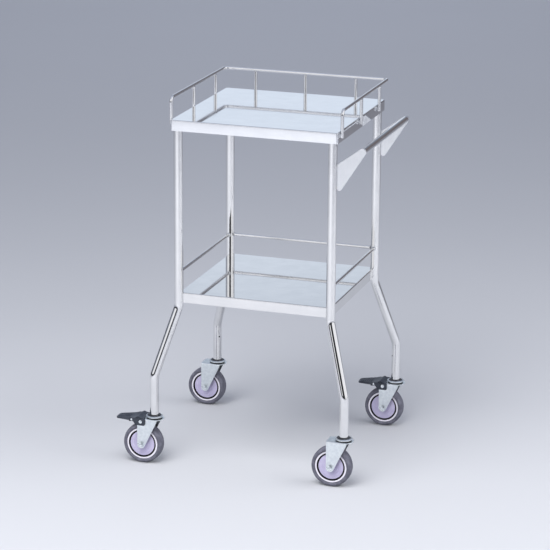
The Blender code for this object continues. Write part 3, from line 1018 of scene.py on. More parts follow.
def collar(inner: float, size: Point, steps: int) -> BMesh:
    """A hollow-sided weld fillet round a bar that stands on the plane Z = 0.

    Args:
        inner: Radius of the bar.
        size: How far the fillet reaches out on the plane and climbs the bar.
        steps: Facets round the bar.

    Returns:
        The closed form round Z.
    """
    width, height = size
    outer, bore = inner + width, inner - WELD_SINK
    form = bmesh.new()
    pen = Pen(form, Plane.SIDE, (bore, -WELD_SINK)).line((outer, -WELD_SINK), (outer, 0.0))
    pen.line(*((inner + out * width, up * height) for out, up in FILLET_SIDE), (bore, height))
    pen.close()
    return turned(form, steps)


@dataclass
class Bench:
    """Where finished forms become pieces of the cart."""

    origin: Vector
    palette: Palette = field(default_factory=Palette)

    def place(
        self, name: str, form: BMesh, finishes: Sequence[Finish], body: str, nodes: Sequence[str] = (),
        crease: float = 35.0,
    ) -> bpy.types.Object:
        """Make a piece from a form.

        Args:
            name: The piece's name.
            form: Its mesh in the cart's frame, which is used up.
            finishes: Its finishes, in the order of the faces' material numbers.
            body: The body that it moves with.
            nodes: Solids that it stands for.
            crease: Angle above which an edge is shaded sharp, in degrees.

        Returns:
            The piece.
        """
        mesh = as_mesh(moved(form, Matrix.Translation(self.origin)), name)
        mesh.shade_smooth()
        mesh.set_sharp_from_angle(angle=math.radians(crease))
        for finish in finishes:
            mesh.materials.append(self.palette.material(finish, finish.name))
        piece = linked(name, mesh)
        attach(piece, body)
        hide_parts(*nodes)
        LOG.info("%s on %s: %d faces", name, body, len(mesh.polygons))
        return piece

    @staticmethod
    def thicken(piece: bpy.types.Object, sheet: float, inside: int = 0) -> None:
        """Give a sheet its thickness, inwards.

        Args:
            piece: The sheet.
            sheet: Its thickness.
            inside: How far on in its list of finishes the one of its inside stands.
        """
        step = piece.modifiers.new("sheet", "SOLIDIFY")
        step.thickness = sheet
        step.offset = -1.0
        step.use_even_offset = True
        step.material_offset = inside

    @staticmethod
    def ease(piece: bpy.types.Object, width: float, segments: int, limit: float = 40.0) -> None:
        """Round the sharp edges of a piece a little and keep its flats flat.

        Args:
            piece: The piece.
            width: How far the rounding reaches.
            segments: Facets across the rounding.
            limit: Angle above which an edge is rounded, in degrees.
        """
        step = piece.modifiers.new("edges", "BEVEL")
        step.width = width
        step.segments = segments
        step.limit_method = "ANGLE"
        step.angle_limit = math.radians(limit)
        piece.modifiers.new("slivers", "WELD").merge_threshold = MERGE
        Bench.settle(piece)

    @staticmethod
    def settle(piece: bpy.types.Object) -> None:
        """Let the large faces rule the shading."""
        step = piece.modifiers.new("flats", "WEIGHTED_NORMAL")
        step.keep_sharp = True


@dataclass
class Shelves:
    """The two polished shelves with their edges turned down."""

    width: float = 0.420
    depth: float = 0.400
    top: float = 0.865
    skirt: float = 0.026
    corner: float = 0.006
    fold: float = 0.0025
    sheet: float = 0.0012
    lower_width: float = 0.388
    lower_depth: float = 0.374
    lower_top: float = 0.433
    lower_skirt: float = 0.025
    notch: float = 0.0113

    def tray(self, width: float, depth: float, top: float, skirt: float, corner: float) -> BMesh:
        """A sheet with its edges turned down over a rounded fold, still without a thickness.

        Args:
            width: Size along X.
            depth: Size along Y.
            top: Height of the flat.
            skirt: Height of the edges.
            corner: Radius of the upright corners, or nothing.

        Returns:
            The open form.
        """
        form = bmesh.new()
        bmesh.ops.create_grid(form, x_segments=1, y_segments=1, size=0.5)
        moved(form, Matrix.Diagonal((width, depth, 1.0, 1.0)), Matrix.Translation((0, 0, top)))
        if corner:
            soften(form, form.verts, corner, steps=8)
        flat = form.faces[:][0]
        if flat.normal.z < 0:
            bmesh.ops.reverse_faces(form, faces=[flat])
        folds = list(flat.edges)
        grown = bmesh.ops.extrude_edge_only(form, edges=folds)["geom"]
        bmesh.ops.translate(form, verts=picked(grown, BMVert), vec=(0, 0, -skirt))
        bmesh.ops.recalc_face_normals(form, faces=form.faces)
        soften(form, folds, self.fold, steps=5)
        return form

    def build(self, bench: Bench) -> None:
        """Make both shelves.

        Args:
            bench: Where pieces are made.
        """
        form = self.tray(self.width, self.depth, self.top, self.skirt, self.corner)
        piece = bench.place("upper_shelf_sheet", form, [SHELF_STEEL], "frame", ["upper_shelf"])
        bench.thicken(piece, self.sheet)
        bench.settle(piece)

        form = self.tray(self.lower_width, self.lower_depth, self.lower_top, self.lower_skirt, 0.0)
        bmesh.ops.solidify(form, geom=list(form.faces), thickness=self.sheet)
        for corner in Corner:
            centre = Matrix.Translation(corner.at(self.lower_width / 2, self.lower_depth / 2, self.lower_top))
            tool = cylinder(self.notch, 4 * self.lower_skirt, segments=64, place=centre)
            form = combined(form, tool, Cut.TAKE_AWAY)
        piece = bench.place("lower_shelf_sheet", form, [LOWER_SHADED_STEEL], "frame", ["lower_shelf"])
        bench.settle(piece)


@dataclass
class Legs:
    """Four bent tubes, each with a grub screw that holds its caster, and the welds on the shelves."""

    shelves: Shelves
    foot_x: float = 0.244
    foot_y: float = 0.229
    radius: float = 0.0111
    knee: float = 0.398
    ankle: float = 0.224
    foot: float = 0.1266
    bend: float = 0.045
    rim: float = 0.0004
    screw_z: float = 0.1906
    screw_r: float = 0.002
    screw_hole: float = 0.0011
    screw_sink: float = 0.0005
    screw_clear: float = 0.00005
    screw_wall: float = 0.0009
    socket_depth: float = 0.0005
    fillet: Point = (0.0014, 0.0018)
    bead_r: float = 0.0009
    bead_in: float = 0.0001
    bead_ends: Point = (0.001, 0.002)

    @property
    def x(self) -> float:
        """Half the distance between left and right tubes."""
        return self.shelves.lower_width / 2

    @property
    def y(self) -> float:
        """Half the distance between front and back tubes."""
        return self.shelves.lower_depth / 2

    @property
    def top(self) -> float:
        """The height of the tubes' ends under the upper shelf."""
        return self.shelves.top - self.shelves.sheet - SEAT_GAP

    def foot_place(self, corner: Corner, z: float = 0.0) -> Vector:
        """The middle of a leg's foot at a height."""
        return corner.at(self.foot_x, self.foot_y, z)

    def screw_place(self, corner: Corner) -> Matrix:
        """Where the grub screw sits: Z points out of the tube, at its skin.

        Args:
            corner: Which leg.

        Returns:
            The place.
        """
        inward = -corner.at(1.0, 1.0).normalized()
        skin = self.foot_place(corner, self.screw_z) + inward * self.radius
        return Matrix.Translation(skin) @ turn_to(inward)

    def tube_form(self, corner: Corner) -> BMesh:
        """One leg with its screw hole.

        Args:
            corner: Which leg.

        Returns:
            The closed form.
        """
        path = [
            corner.at(self.x, self.y, self.top), corner.at(self.x, self.y, self.knee),
            self.foot_place(corner, self.ankle), self.foot_place(corner, self.foot),
        ]
        form = tube(path, self.radius, sides=56, rounding=self.rim, bend=self.bend, steps=14)
        place = self.screw_place(corner)
        tool = cylinder(self.screw_r, 2 * self.screw_hole, segments=24, place=place)
        return combined(form, tool, Cut.TAKE_AWAY)

    def screw_form(self, corner: Corner) -> BMesh:
        """A grub screw with a socket, just under the tube's skin.

        Args:
            corner: Which leg.

        Returns:
            The closed form.
        """
        height = self.screw_hole - self.screw_sink - self.screw_clear
        middle = Matrix.Translation((0.0, 0.0, -height / 2))
        form = cylinder(self.screw_r - self.screw_clear, height, segments=24, place=middle)
        face = max(form.faces, key=lambda face: face.calc_center_median().z)
        bmesh.ops.inset_individual(form, faces=[face], thickness=self.screw_wall)
        drawn_out(form, [face], (0, 0, -self.socket_depth))
        bmesh.ops.delete(form, geom=[face], context="FACES_ONLY")
        return moved(form, Matrix.Translation((0, 0, -self.screw_sink)), self.screw_place(corner))

    def weld_form(self, corner: Corner) -> BMesh:
        """Welds of one leg: a fillet under the upper shelf and runs beside the lower shelf's skirts.

        Args:
            corner: Which leg.

        Returns:
            The closed forms in one.
        """
        place = Matrix.Translation(corner.at(self.x, self.y, self.top + WELD_SINK))
        ring = moved(collar(self.radius, self.fillet, steps=32), UPSIDE_DOWN, place)
        low = self.shelves.lower_top - self.shelves.lower_skirt + self.bead_ends[0]
        high = self.shelves.lower_top - self.bead_ends[1]
        inside = self.radius - self.bead_in
        sides = ((self.x - inside, self.y), (self.x, self.y - inside))
        runs = [bead(corner.at(*side, low), corner.at(*side, high), self.bead_r) for side in sides]
        return joined(ring, *runs)

    def build(self, bench: Bench) -> None:
        """Make the legs with their screws and welds.

        Args:
            bench: Where pieces are made.
        """
        for corner in Corner:
            name = corner.label
            form = self.tube_form(corner)
            bench.settle(bench.place(f"leg_tube_{name}", form, [TUBE_STEEL], "frame", [f"leg_{name}"]))
            bench.place(f"leg_screw_{name}", self.screw_form(corner), [SCREW_BLACK], "frame")
            bench.place(f"leg_welds_{name}", self.weld_form(corner), [WELD_METAL], "frame")


@dataclass
class Rods:
    """The guard rail round the upper shelf, its posts, and the plain rails above the lower shelf."""

    shelves: Shelves
    legs: Legs
    radius: float = 0.004
    front_y: float = -0.180
    rail_z: float = 0.915
    low_z: float = 0.850
    bend: float = 0.012
    rim: float = 0.0007
    side_posts: Point = (-0.024, 0.132)
    back_post: float = 0.132
    post_reach: float = 0.0008
    lower_z: float = 0.484
    sides: int = 24
    lap_bead: float = 0.0009
    lap_in: float = 0.0004
    lap_side: float = 0.0021
    lap_ends: Point = (0.0025, 0.0045)
    post_fillet: Point = (0.0007, 0.0016)
    end_fillet: Point = (0.0016, 0.0020)

    @property
    def side_x(self) -> float:
        """Half the distance between the guard's left and right sides."""
        return self.shelves.width / 2 + self.radius + SEAT_GAP

    @property
    def back_y(self) -> float:
        """The Y of the guard's back."""
        return self.shelves.depth / 2 + self.radius + SEAT_GAP

    def posts(self) -> dict[str, tuple[Point, Point]]:
        """The posts.

        Returns:
            Each post's name, place and outward direction.
        """
        middle, back = self.side_posts
        return {
            "left_middle": ((-self.side_x, middle), (-1.0, 0.0)),
            "left_back": ((-self.side_x, back), (-1.0, 0.0)),
            "right_middle": ((self.side_x, middle), (1.0, 0.0)),
            "right_back": ((self.side_x, back), (1.0, 0.0)),
            "back_left": ((-self.back_post, self.back_y), (0.0, 1.0)),
            "back_middle": ((0.0, self.back_y), (0.0, 1.0)),
            "back_right": ((self.back_post, self.back_y), (0.0, 1.0)),
        }

    def lap_welds(self, place: Point, outward: Point) -> BMesh:
        """Two runs of weld where an upright laps over the skirt.

        Args:
            place: The upright's X and Y.
            outward: The skirt's outward direction.

        Returns:
            The closed forms in one.
        """
        across = Vector((-outward[1], outward[0], 0.0))
        root = Vector((*place, 0.0)) - Vector((*outward, 0.0)) * (self.radius - self.lap_in)
        low = UP * (self.low_z + self.lap_ends[0])
        high = UP * (self.shelves.top - self.lap_ends[1])
        feet = [root + across * side * self.lap_side for side in (-1, 1)]
        return joined(*(bead(foot + low, foot + high, self.lap_bead) for foot in feet))

    def build(self, bench: Bench) -> None:
        """Make the guard with its posts, and the lower rails.

        Args:
            bench: Where pieces are made.
        """
        self.build_guard(bench)
        self.build_lower_rails(bench)

    def build_guard(self, bench: Bench) -> None:
        """Make the guard rail, its posts and their welds.

        Args:
            bench: Where pieces are made.
        """
        x, y, front = self.side_x, self.back_y, self.front_y
        path = [
            (-x, front, self.low_z), (-x, front, self.rail_z), (-x, y, self.rail_z),
            (x, y, self.rail_z), (x, front, self.rail_z), (x, front, self.low_z),
        ]
        form = tube(path, self.radius, self.sides, self.rim, self.bend, steps=12)
        bench.settle(bench.place("guard_rod", form, [ROD_STEEL], "frame", ["upper_guard_rail"]))
        welds = [self.lap_welds((-x, front), (-1.0, 0.0)), self.lap_welds((x, front), (1.0, 0.0))]
        post_top = self.rail_z - self.radius - SEAT_GAP + self.post_reach
        for name, (place, outward) in self.posts().items():
            form = tube([(*place, self.low_z), (*place, post_top)], self.radius, self.sides, self.rim)
            piece = bench.place(f"guard_upright_{name}", form, [ROD_STEEL], "frame", [f"guard_post_{name}"])
            bench.settle(piece)
            welds.append(self.lap_welds(place, outward))
            under_rail = Matrix.Translation((*place, post_top - WELD_SINK))
            ring = collar(self.radius, self.post_fillet, self.sides)
            welds.append(moved(ring, UPSIDE_DOWN, under_rail))
        bench.place("guard_welds", joined(*welds), [WELD_METAL], "frame")

    def build_lower_rails(self, bench: Bench) -> None:
        """Make the rails between the legs and their welds.

        Args:
            bench: Where pieces are made.
        """
        x, y, z = self.legs.x, self.legs.y, self.lower_z
        end_x, end_y = (place - self.legs.radius - SEAT_GAP for place in (x, y))
        runs = {
            "left": ((-x, -end_y, z), (-x, end_y, z)),
            "back": ((-end_x, y, z), (end_x, y, z)),
            "right": ((x, -end_y, z), (x, end_y, z)),
        }
        welds = []
        for name, ends in runs.items():
            form = tube(ends, self.radius, self.sides)
            bench.settle(bench.place(f"lower_rod_{name}", form, [ROD_STEEL], "frame", [f"lower_rail_{name}"]))
            along = (Vector(ends[1]) - Vector(ends[0])).normalized()
            for end, inward in zip(ends, (along, -along)):
                ring = collar(self.radius, self.end_fillet, self.sides)
                welds.append(moved(ring, turn_to(inward), Matrix.Translation(end)))
        bench.place("lower_rod_welds", joined(*welds), [WELD_METAL], "frame")


@dataclass
class PushHandle:
    """A tube between two plates that stand on the right-hand legs."""

    legs: Legs
    bar_x: float = 0.2673
    bar_z: float = 0.822
    bar_r: float = 0.008
    edge_top: float = 0.787
    foot_z: float = 0.730
    foot_r: float = 0.006
    tip_r: float = 0.0085
    plate: float = 0.004
    rim: float = 0.0006
    sides: int = 48
    bead_r: float = 0.0012
    bead_out: float = 0.0003
    bead_in: float = 0.0002
    bead_short: float = 0.004
    fillet: Point = (0.0005, 0.0022)

    @property
    def edge_x(self) -> float:
        """The X of the plates' edges at the legs."""
        return self.legs.x + self.legs.radius + SEAT_GAP

    def plate_form(self, middle: float) -> BMesh:
        """One plate, its rim eased.

        Args:
            middle: The Y of its middle.

        Returns:
            The closed form.
        """
        foot = (self.edge_x + self.foot_r, self.foot_z)
        tip = (self.bar_x, self.bar_z)
        corner = (self.edge_x, self.edge_top)
        low = touch_angle(tip, self.tip_r - self.foot_r, foot, 1)
        high = touch_angle(tip, self.tip_r, corner, -1) + 360.0
        form = bmesh.new()
        pen = Pen(form, Plane.SIDE, corner).line((self.edge_x, self.foot_z))
        pen.arc(foot, 180.0 + low, steps=12).line(on_circle(tip, self.tip_r, low))
        face = pen.arc(tip, high - low, steps=24).fill()
        slab(form, face, Vector((0.0, self.plate / 2, 0.0)))
        soften(form, sharp_edges(form, 60.0), self.rim, steps=3)
        return moved(form, Matrix.Translation((0.0, middle, 0.0)))

    def build(self, bench: Bench) -> None:
        """Make the plates, the bar and their welds.

        Args:
            bench: Where pieces are made.
        """
        inner_face = self.legs.y - self.plate / 2
        welds = []
        for name, side in (("front", -1), ("back", 1)):
            middle = side * self.legs.y
            form = self.plate_form(middle)
            nodes = [f"handle_bracket_{name}"]
            bench.settle(bench.place(f"handle_plate_{name}", form, [PLATE_STEEL], "frame", nodes))
            for face in (-1, 1):
                y = middle + face * (self.plate / 2 + self.bead_out)
                heights = (self.foot_z, self.edge_top - self.bead_short)
                welds.append(bead(*((self.edge_x + self.bead_in, y, z) for z in heights), self.bead_r))
            turn = Matrix.Rotation(side * math.pi / 2, 4, "X")
            place = Matrix.Translation((self.bar_x, side * inner_face, self.bar_z))
            welds.append(moved(collar(self.bar_r, self.fillet, steps=40), turn, place))
        bar_end = inner_face - SEAT_GAP
        form = tube([(self.bar_x, y, self.bar_z) for y in (-bar_end, bar_end)], self.bar_r, self.sides)
        bench.settle(bench.place("handle_tube", form, [ROD_STEEL], "frame", ["handle_bar"]))
        bench.place("handle_welds", joined(*welds), [WELD_METAL], "frame")


@dataclass
class Brake:
    """A moulded pedal with grip ribs, its shoe and its rivets, about the pivot."""

    stem_x: float
    pivot_z: float = 0.1107
    reach: float = 0.068
    tip_half: float = 0.015
    root_half: float = 0.020
    half: float = 0.0245
    clear: float = 0.0215
    tip_rise: float = 0.0025
    root_rise: float = 0.0073
    under: float = 0.001
    tip_r: float = 0.006
    slot_x: float = -0.013
    web_x: float = -0.019
    root_x: float = -0.027
    rise: float = 0.0088
    fall: float = 0.0097
    front: float = 0.011
    corner: float = 0.003
    edge: float = 0.0007
    hood_inset: float = 0.0004
    hood_under: tuple[Point, ...] = (
        (-0.0150, 0.0070), (-0.0131, 0.0070), (-0.0118, 0.0078), (-0.0092, 0.0098), (-0.0070, 0.0110),
        (0.0, 0.0081), (0.0025, 0.0074), (0.0096, 0.0074),
    )
    hood_step: float = 0.0034
    hood_hump: tuple[Point, ...] = ((0.0008, 0.0094), (-0.0066, 0.0123), (-0.0088, 0.0121))
    bearing_clear: float = 0.0225
    bearing_cut: float = 0.08
    rib_count: int = 6
    rib_ends: Point = (0.007, 0.006)
    rib_inset: float = 0.0035
    rib_width: float = 0.0026
    rib_height: float = 0.0020
    rib_edge: float = 0.0007
    shoe_edge: float = 0.0006
    second_pin: Point = (-0.024, 0.0028)
    second_pin_r: float = 0.0028
    second_head: Point = (0.0030, 0.0012)
    pivot_r: float = 0.003
    pivot_head: Point = (0.0045, 0.0015)

    def pedal_form(self) -> BMesh:
        """The pedal: its side view, trimmed to its plan and slotted for fork and wheel.

        Returns:
            The closed form, with its edges still sharp.
        """
        c = self.corner
        form = bmesh.new()
        pen = Pen(form, Plane.SIDE, (-self.reach, self.tip_rise)).line((-self.reach, -self.under))
        pen.line((self.web_x, -self.under), (self.slot_x, -self.fall), (self.front - c, -self.fall))
        pen.arc((self.front - c, c - self.fall), 90.0, steps=6).line((self.front, self.rise - c))
        pen.arc((self.front - c, self.rise - c), 90.0, steps=6)
        pen.line((self.web_x, self.rise), (self.root_x, self.root_rise))
        slab(form, pen.fill(), Vector((0.0, self.half, 0.0)))

        over = 2 * self.half
        tip_x, tip_y = self.tip_r - self.reach, self.tip_half - self.tip_r
        tool = bmesh.new()
        pen = Pen(tool, Plane.PLAN, (over, -self.half)).line((over, self.half), (self.web_x, self.half))
        pen.line((self.root_x, self.root_half), (tip_x, self.tip_half)).arc((tip_x, tip_y), 90.0, steps=8)
        pen.line((-self.reach, -tip_y)).arc((tip_x, -tip_y), 90.0, steps=8)
        pen.line((self.root_x, -self.root_half), (self.web_x, -self.half))
        form = combined(form, slab(tool, pen.fill(), UP * over), Cut.KEEP_COMMON)

        tool = bmesh.new()
        pen = Pen(tool, Plane.SIDE, (self.slot_x, over)).line((self.slot_x, -self.under))
        pen.line((self.web_x, -self.under), (self.web_x, -over), (over, -over), (over, over))
        slot = slab(tool, pen.fill(), Vector((0.0, self.clear, 0.0)))
        form = combined(form, slot, Cut.TAKE_AWAY)
        return combined(form, self.hood_form(), Cut.JOIN)

    def hood_form(self) -> BMesh:
        """The hood over the crown, humped to clear the crown's back edge when the pedal is pressed.

        Returns:
            The closed form, hollowed in front round the bearing.
        """
        back, front = self.hood_under[0][0], self.hood_under[-1][0]
        form = bmesh.new()
        pen = Pen(form, Plane.SIDE, (back, self.rise - self.hood_inset)).line(*self.hood_under)
        pen.line((front, self.rise), (self.hood_step, self.rise), *self.hood_hump)
        slab(form, pen.fill(), Vector((0.0, self.half - self.hood_inset, 0.0)))
        stem = Matrix.Translation((self.stem_x, 0.0, 0.0))
        tool = cylinder(self.bearing_clear, self.bearing_cut, segments=64, place=stem)
        return combined(form, tool, Cut.TAKE_AWAY)

    def ribs_form(self) -> BMesh:
        """Grip ribs across the pedal's sloping top.

        Returns:
            The closed ribs in one form.
        """
        ribs = []
        first, last = self.rib_ends[0] - self.reach, self.root_x - self.rib_ends[1]
        for index in range(self.rib_count):
            x = first + (last - first) * index / (self.rib_count - 1)
            slope = (x + self.reach) / (self.root_x + self.reach)
            rise = self.tip_rise + (self.root_rise - self.tip_rise) * slope
            half = self.tip_half + (self.root_half - self.tip_half) * slope - self.rib_inset
            size = Matrix.Diagonal((self.rib_width, 2 * half, self.rib_height, 1.0))
            rib = bmesh.new()
            bmesh.ops.create_cube(rib, size=1.0)
            moved(rib, size, Matrix.Translation((x, 0.0, rise)))
            soften(rib, rib.edges, self.rib_edge, steps=3)
            ribs.append(rib)
        return joined(*ribs)

    def shoe_form(self, solid: bpy.types.Object, pivot: Vector) -> BMesh:
        """The shoe, from its solid, with eased edges.

        Args:
            solid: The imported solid.
            pivot: The pivot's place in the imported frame.

        Returns:
            The closed form about the pivot.
        """
        form = bmesh.new()
        form.from_mesh(solid.data)
        bmesh.ops.remove_doubles(form, verts=form.verts, dist=10 * MERGE)
        bmesh.ops.dissolve_limit(form, angle_limit=math.radians(1.0), verts=form.verts, edges=form.edges)
        soften(form, sharp_edges(form, 40.0), self.shoe_edge, steps=2)
        for face in form.faces:
            face.material_index = 0
        return moved(form, Matrix.Translation(-pivot))

    def rivet_form(self, radius: float, seat: float, head: Point) -> BMesh:
        """A rivet along Y with a domed head at both ends.

        Args:
            radius: Of the shank.
            seat: Half the length between the heads.
            head: Radius and height of the heads.

        Returns:
            The closed form.
        """
        width, height = head
        form = bmesh.new()
        pen = Pen(form, Plane.SIDE, (radius, 0.0)).line((radius, seat))
        pen.line(*((out * width, seat + up * height) for out, up in RIVET_DOME))
        return moved(mirrored(turned(form, steps=28)), ALONG_Y)

    def build(self, bench: Bench, frame: dict, label: str, pivot: Vector) -> None:
        """Make one brake.

        Args:
            bench: Where pieces are made.
            frame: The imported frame.
            label: The corner's name.
            pivot: The pivot's place in the cart's frame.
        """
        there = Matrix.Translation(pivot)
        body = f"pedal_{label}"
        form = moved(self.pedal_form(), there)
        piece = bench.place(f"pedal_moulding_{label}", form, [PEDAL_NYLON], body, [f"brake_pedal_{label}"])
        bench.ease(piece, self.edge, segments=3)
        bench.place(f"pedal_ribs_{label}", moved(self.ribs_form(), there), [PEDAL_NYLON], body)
        form = self.shoe_form(frame["nodes"][f"brake_shoe_{label}"], pivot + bench.origin)
        bench.place(f"brake_pad_{label}", moved(form, there), [SHOE_RUBBER], body, [f"brake_shoe_{label}"])
        form = self.rivet_form(self.second_pin_r, self.clear + SEAT_GAP, self.second_head)
        moved(form, Matrix.Translation(Plane.SIDE.lift(self.second_pin)), there)
        bench.place(f"pedal_rivet_{label}", form, [FASTENER_STEEL], body)
        form = moved(self.rivet_form(self.pivot_r, self.half + SEAT_GAP, self.pivot_head), there)
        nodes = [f"brake_pin_{label}"]
        bench.place(f"pivot_rivet_{label}", form, [FASTENER_STEEL], f"caster_{label}", nodes)


@dataclass
class Caster:
    """A swivel caster: turned head, bearing ring painted near-black as shade, pressed fork, axle, moulded hub
    and rubber tyre.
    """

    trail: float = 0.028
    wheel_r: float = 0.050
    spigot_r: float = 0.0093
    spigot_top: float = 0.1966
    spigot_chamfer: float = 0.0013
    cap_r: float = 0.0210
    cap_low: float = 0.1213
    cap_flat: Point = (0.0150, 0.1263)
    cap_cone: tuple[Point, ...] = ((0.0172, 0.1245), (0.0196, 0.1236), (0.0206, 0.1233))
    cap_round: float = 0.0005
    brim_round: float = 0.0004
    shoulder: Point = (0.1246, 0.1265)
    shoulder_r: float = 0.0098
    pin_r: float = 0.0050
    rivet_r: float = 0.0080
    rivet_top: float = 0.1144
    rivet_dome: tuple[Point, ...] = (
        (0.0080, 0.1137), (0.0072, 0.1123), (0.0055, 0.1111), (0.0030, 0.1105), (0.0, 0.1104),
    )
    race_r: float = 0.0195
    race_round: float = 0.0004
    seam_half: float = 0.0003
    fork_half: float = 0.021
    fork_sheet: float = 0.002
    fork_fold: float = 0.004
    fold_room: float = 1.12
    fork_edge: float = 0.0004
    crown_z: float = 0.1177
    crown_r: float = 0.0245
    crown_back: float = 0.038
    lip_z: float = 0.1115
    knee_round: float = 0.002
    cheek_r: float = 0.010
    hex_flats: float = 0.013
    hex_face: float = 0.93
    hex_reach: float = 1.4
    hex_slope: float = 30.0
    hex_crease: float = 25.0
    nut_height: float = 0.0065
    head_height: float = 0.0053
    axle_r: float = 0.004
    axle_tail: float = 0.002
    axle_chamfer: float = 0.0008
    overlap: float = 0.001
    sleeve_r: float = 0.0063
    boss_r: float = 0.0100
    boss_chamfer: float = 0.0006
    boss_fillet: float = 0.0012
    disc_r: float = 0.0315
    disc_half: float = 0.0110
    disc_round: float = 0.0008
    ring_r: float = 0.0205
    ring_half: float = 0.0009
    ring_depth: float = 0.0004
    groove_r: float = 0.0355
    groove_half: float = 0.0050
    rim_half: float = 0.0125
    rim_round: float = 0.0007
    rim_chamfer: float = 0.0006
    shade: Point = (0.0313, 0.0356)
    tyre_bore: float = 0.0400
    tyre_wall: tuple[Point, ...] = (
        (0.0400, 0.0122), (0.0404, 0.0129), (0.0416, 0.0142), (0.0428, 0.0148), (0.0436, 0.0150),
        (0.0440, 0.0148), (0.0444, 0.0149), (0.0456, 0.0147), (0.0468, 0.0142), (0.0480, 0.0130),
        (0.0488, 0.0115), (0.0494, 0.0098), (0.0498, 0.0080),
    )
    tyre_tread: tuple[Point, ...] = (
        (0.0500, 0.0060), (0.0500, 0.0046), (0.0496, 0.0043), (0.0496, 0.0039), (0.0500, 0.0036),
        (0.0500, 0.0),
    )
    wheel_steps: int = 96

    @property
    def seat(self) -> float:
        """The Y of the seats of the axle's head and nut."""
        return self.fork_half + SEAT_GAP

    @property
    def sleeve_half(self) -> float:
        """Half the length of the sleeve and of the hub's boss."""
        return self.fork_half - self.fork_sheet - SEAT_GAP

    def head_form(self) -> BMesh:
        """Spigot, coned cap with a shoulder painted near-black as shade round the leg's foot, kingpin and the
        rivet under the crown, turned in one.

        Returns:
            The closed form, its faces numbered for plating and for the shoulder's painted shade.
        """
        flat_r, flat_z = self.cap_flat
        cone_end = self.cap_cone[-1][1]
        form = bmesh.new()
        pen = Pen(form, Plane.SIDE, (0.0, self.spigot_top))
        pen.line((self.spigot_r - self.spigot_chamfer, self.spigot_top))
        pen.line((self.spigot_r, self.spigot_top - self.spigot_chamfer))
        pen.line((self.spigot_r, flat_z), self.cap_flat)
        pen.arc((flat_r, flat_z - self.cap_round), -70.0, steps=4).line(*self.cap_cone)
        pen.arc((self.cap_r - self.cap_round, cone_end - self.cap_round), -80.0, steps=4)
        pen.line((self.cap_r, self.cap_low + self.brim_round))
        pen.arc((self.cap_r - self.brim_round, self.cap_low + self.brim_round), -90.0, steps=4)
        pen.line((self.pin_r, self.cap_low), (self.pin_r, self.rivet_top), (self.rivet_r, self.rivet_top))
        pen.line(*self.rivet_dome)
        turned(form, steps=64)
        # The shoulder's faces take the near-black finish, which is painted shade round the leg's foot.
        low, high = self.shoulder
        for face in form.faces:
            middle = face.calc_center_median()
            face.material_index = int(low < middle.z < high and middle.xy.length > self.shoulder_r)
        return form

    def race_form(self) -> BMesh:
        """The bearing ring, a real part coloured near-black as painted shade of the gap under the cap, with a
        seam round its rim.

        Returns:
            The closed form.
        """
        low, high = self.crown_z + SEAT_GAP, self.cap_low - SEAT_GAP
        middle, bore = (low + high) / 2, self.pin_r + SEAT_GAP
        outer, inner = self.race_r, self.race_r - self.race_round
        form = bmesh.new()
        pen = Pen(form, Plane.SIDE, (bore, low)).line((inner, low))
        pen.arc((inner, low + self.race_round), 90.0, steps=4)
        pen.line((outer, middle - self.seam_half), (inner, middle), (outer, middle + self.seam_half))
        pen.line((outer, high - self.race_round)).arc((inner, high - self.race_round), 90.0, steps=4)
        pen.line((bore, high)).close()
        return turned(form, steps=64)

    def fork_form(self) -> BMesh:
        """Crown and two cheeks, folded from one sheet, still without a thickness.

        Returns:
            The open form about the stem.
        """
        half, back, top = self.fork_half, -self.crown_back, self.crown_z
        front = math.sqrt(self.crown_r ** 2 - half ** 2)
        narrow = half - self.fold_room * self.fork_fold
        nose = math.sqrt(self.crown_r ** 2 - narrow ** 2)
        sweep = 2 * math.degrees(math.asin(narrow / self.crown_r))
        form = bmesh.new()
        pen = Pen(form, Plane.PLAN, (back, -half)).line((front, -half), (nose, -narrow))
        crown = pen.arc((0.0, 0.0), sweep, steps=24).line((front, half), (back, half)).fill()
        bmesh.ops.translate(form, verts=crown.verts, vec=(0.0, 0.0, top))

        end = (-self.trail, self.wheel_r)
        knee = (front, self.lip_z)
        touch = touch_angle(end, self.cheek_r, knee, -1)
        slant = on_circle(end, self.cheek_r, touch)
        cheeks = []
        for side in (-1, 1):
            cheek = bmesh.new()
            pen = Pen(cheek, Plane.SIDE, (back, top)).line((front, top), knee, slant)
            face = pen.arc(end, -180.0 - touch, steps=20).fill()
            corner = min(face.verts, key=lambda vert: (vert.co - Plane.SIDE.lift(knee)).length)
            soften(cheek, [corner], self.knee_round, steps=5)
            cheeks.append(moved(cheek, Matrix.Translation((0.0, side * half, 0.0))))
        form = close_up(joined(form, *cheeks))
        if max(form.faces, key=lambda face: face.calc_center_median().z).normal.z < 0:
            bmesh.ops.reverse_faces(form, faces=form.faces)
        soften(form, sharp_edges(form, 60.0), self.fork_fold, steps=6)
        return form

    def hexagon_form(self, height: float) -> BMesh:
        """A six-sided head along Z, on the axle's seat, with its outer corners turned off.

        Args:
            height: From the seat to the outer face.

        Returns:
            The closed form.
        """
        low, high = self.seat, self.seat + height
        flat = self.hex_flats / 2
        corner = flat / math.cos(math.pi / 6)
        middle = Matrix.Translation((0.0, 0.0, (low + high + self.overlap) / 2))
        form = cylinder(corner, height + self.overlap, segments=6, place=middle)
        face, outer = self.hex_face * flat, self.hex_reach * flat
        tool = bmesh.new()
        pen = Pen(tool, Plane.SIDE, (0.0, high)).line((face, high))
        pen.line((outer, high - (outer - face) * math.tan(math.radians(self.hex_slope))))
        pen.line((outer, low - self.overlap), (0.0, low - self.overlap))
        form = combined(form, turned(tool, steps=48), Cut.KEEP_COMMON)
        bmesh.ops.dissolve_limit(form, angle_limit=math.radians(0.5), verts=form.verts, edges=form.edges)
        bmesh.ops.dissolve_degenerate(form, dist=MERGE, edges=form.edges)
        return form

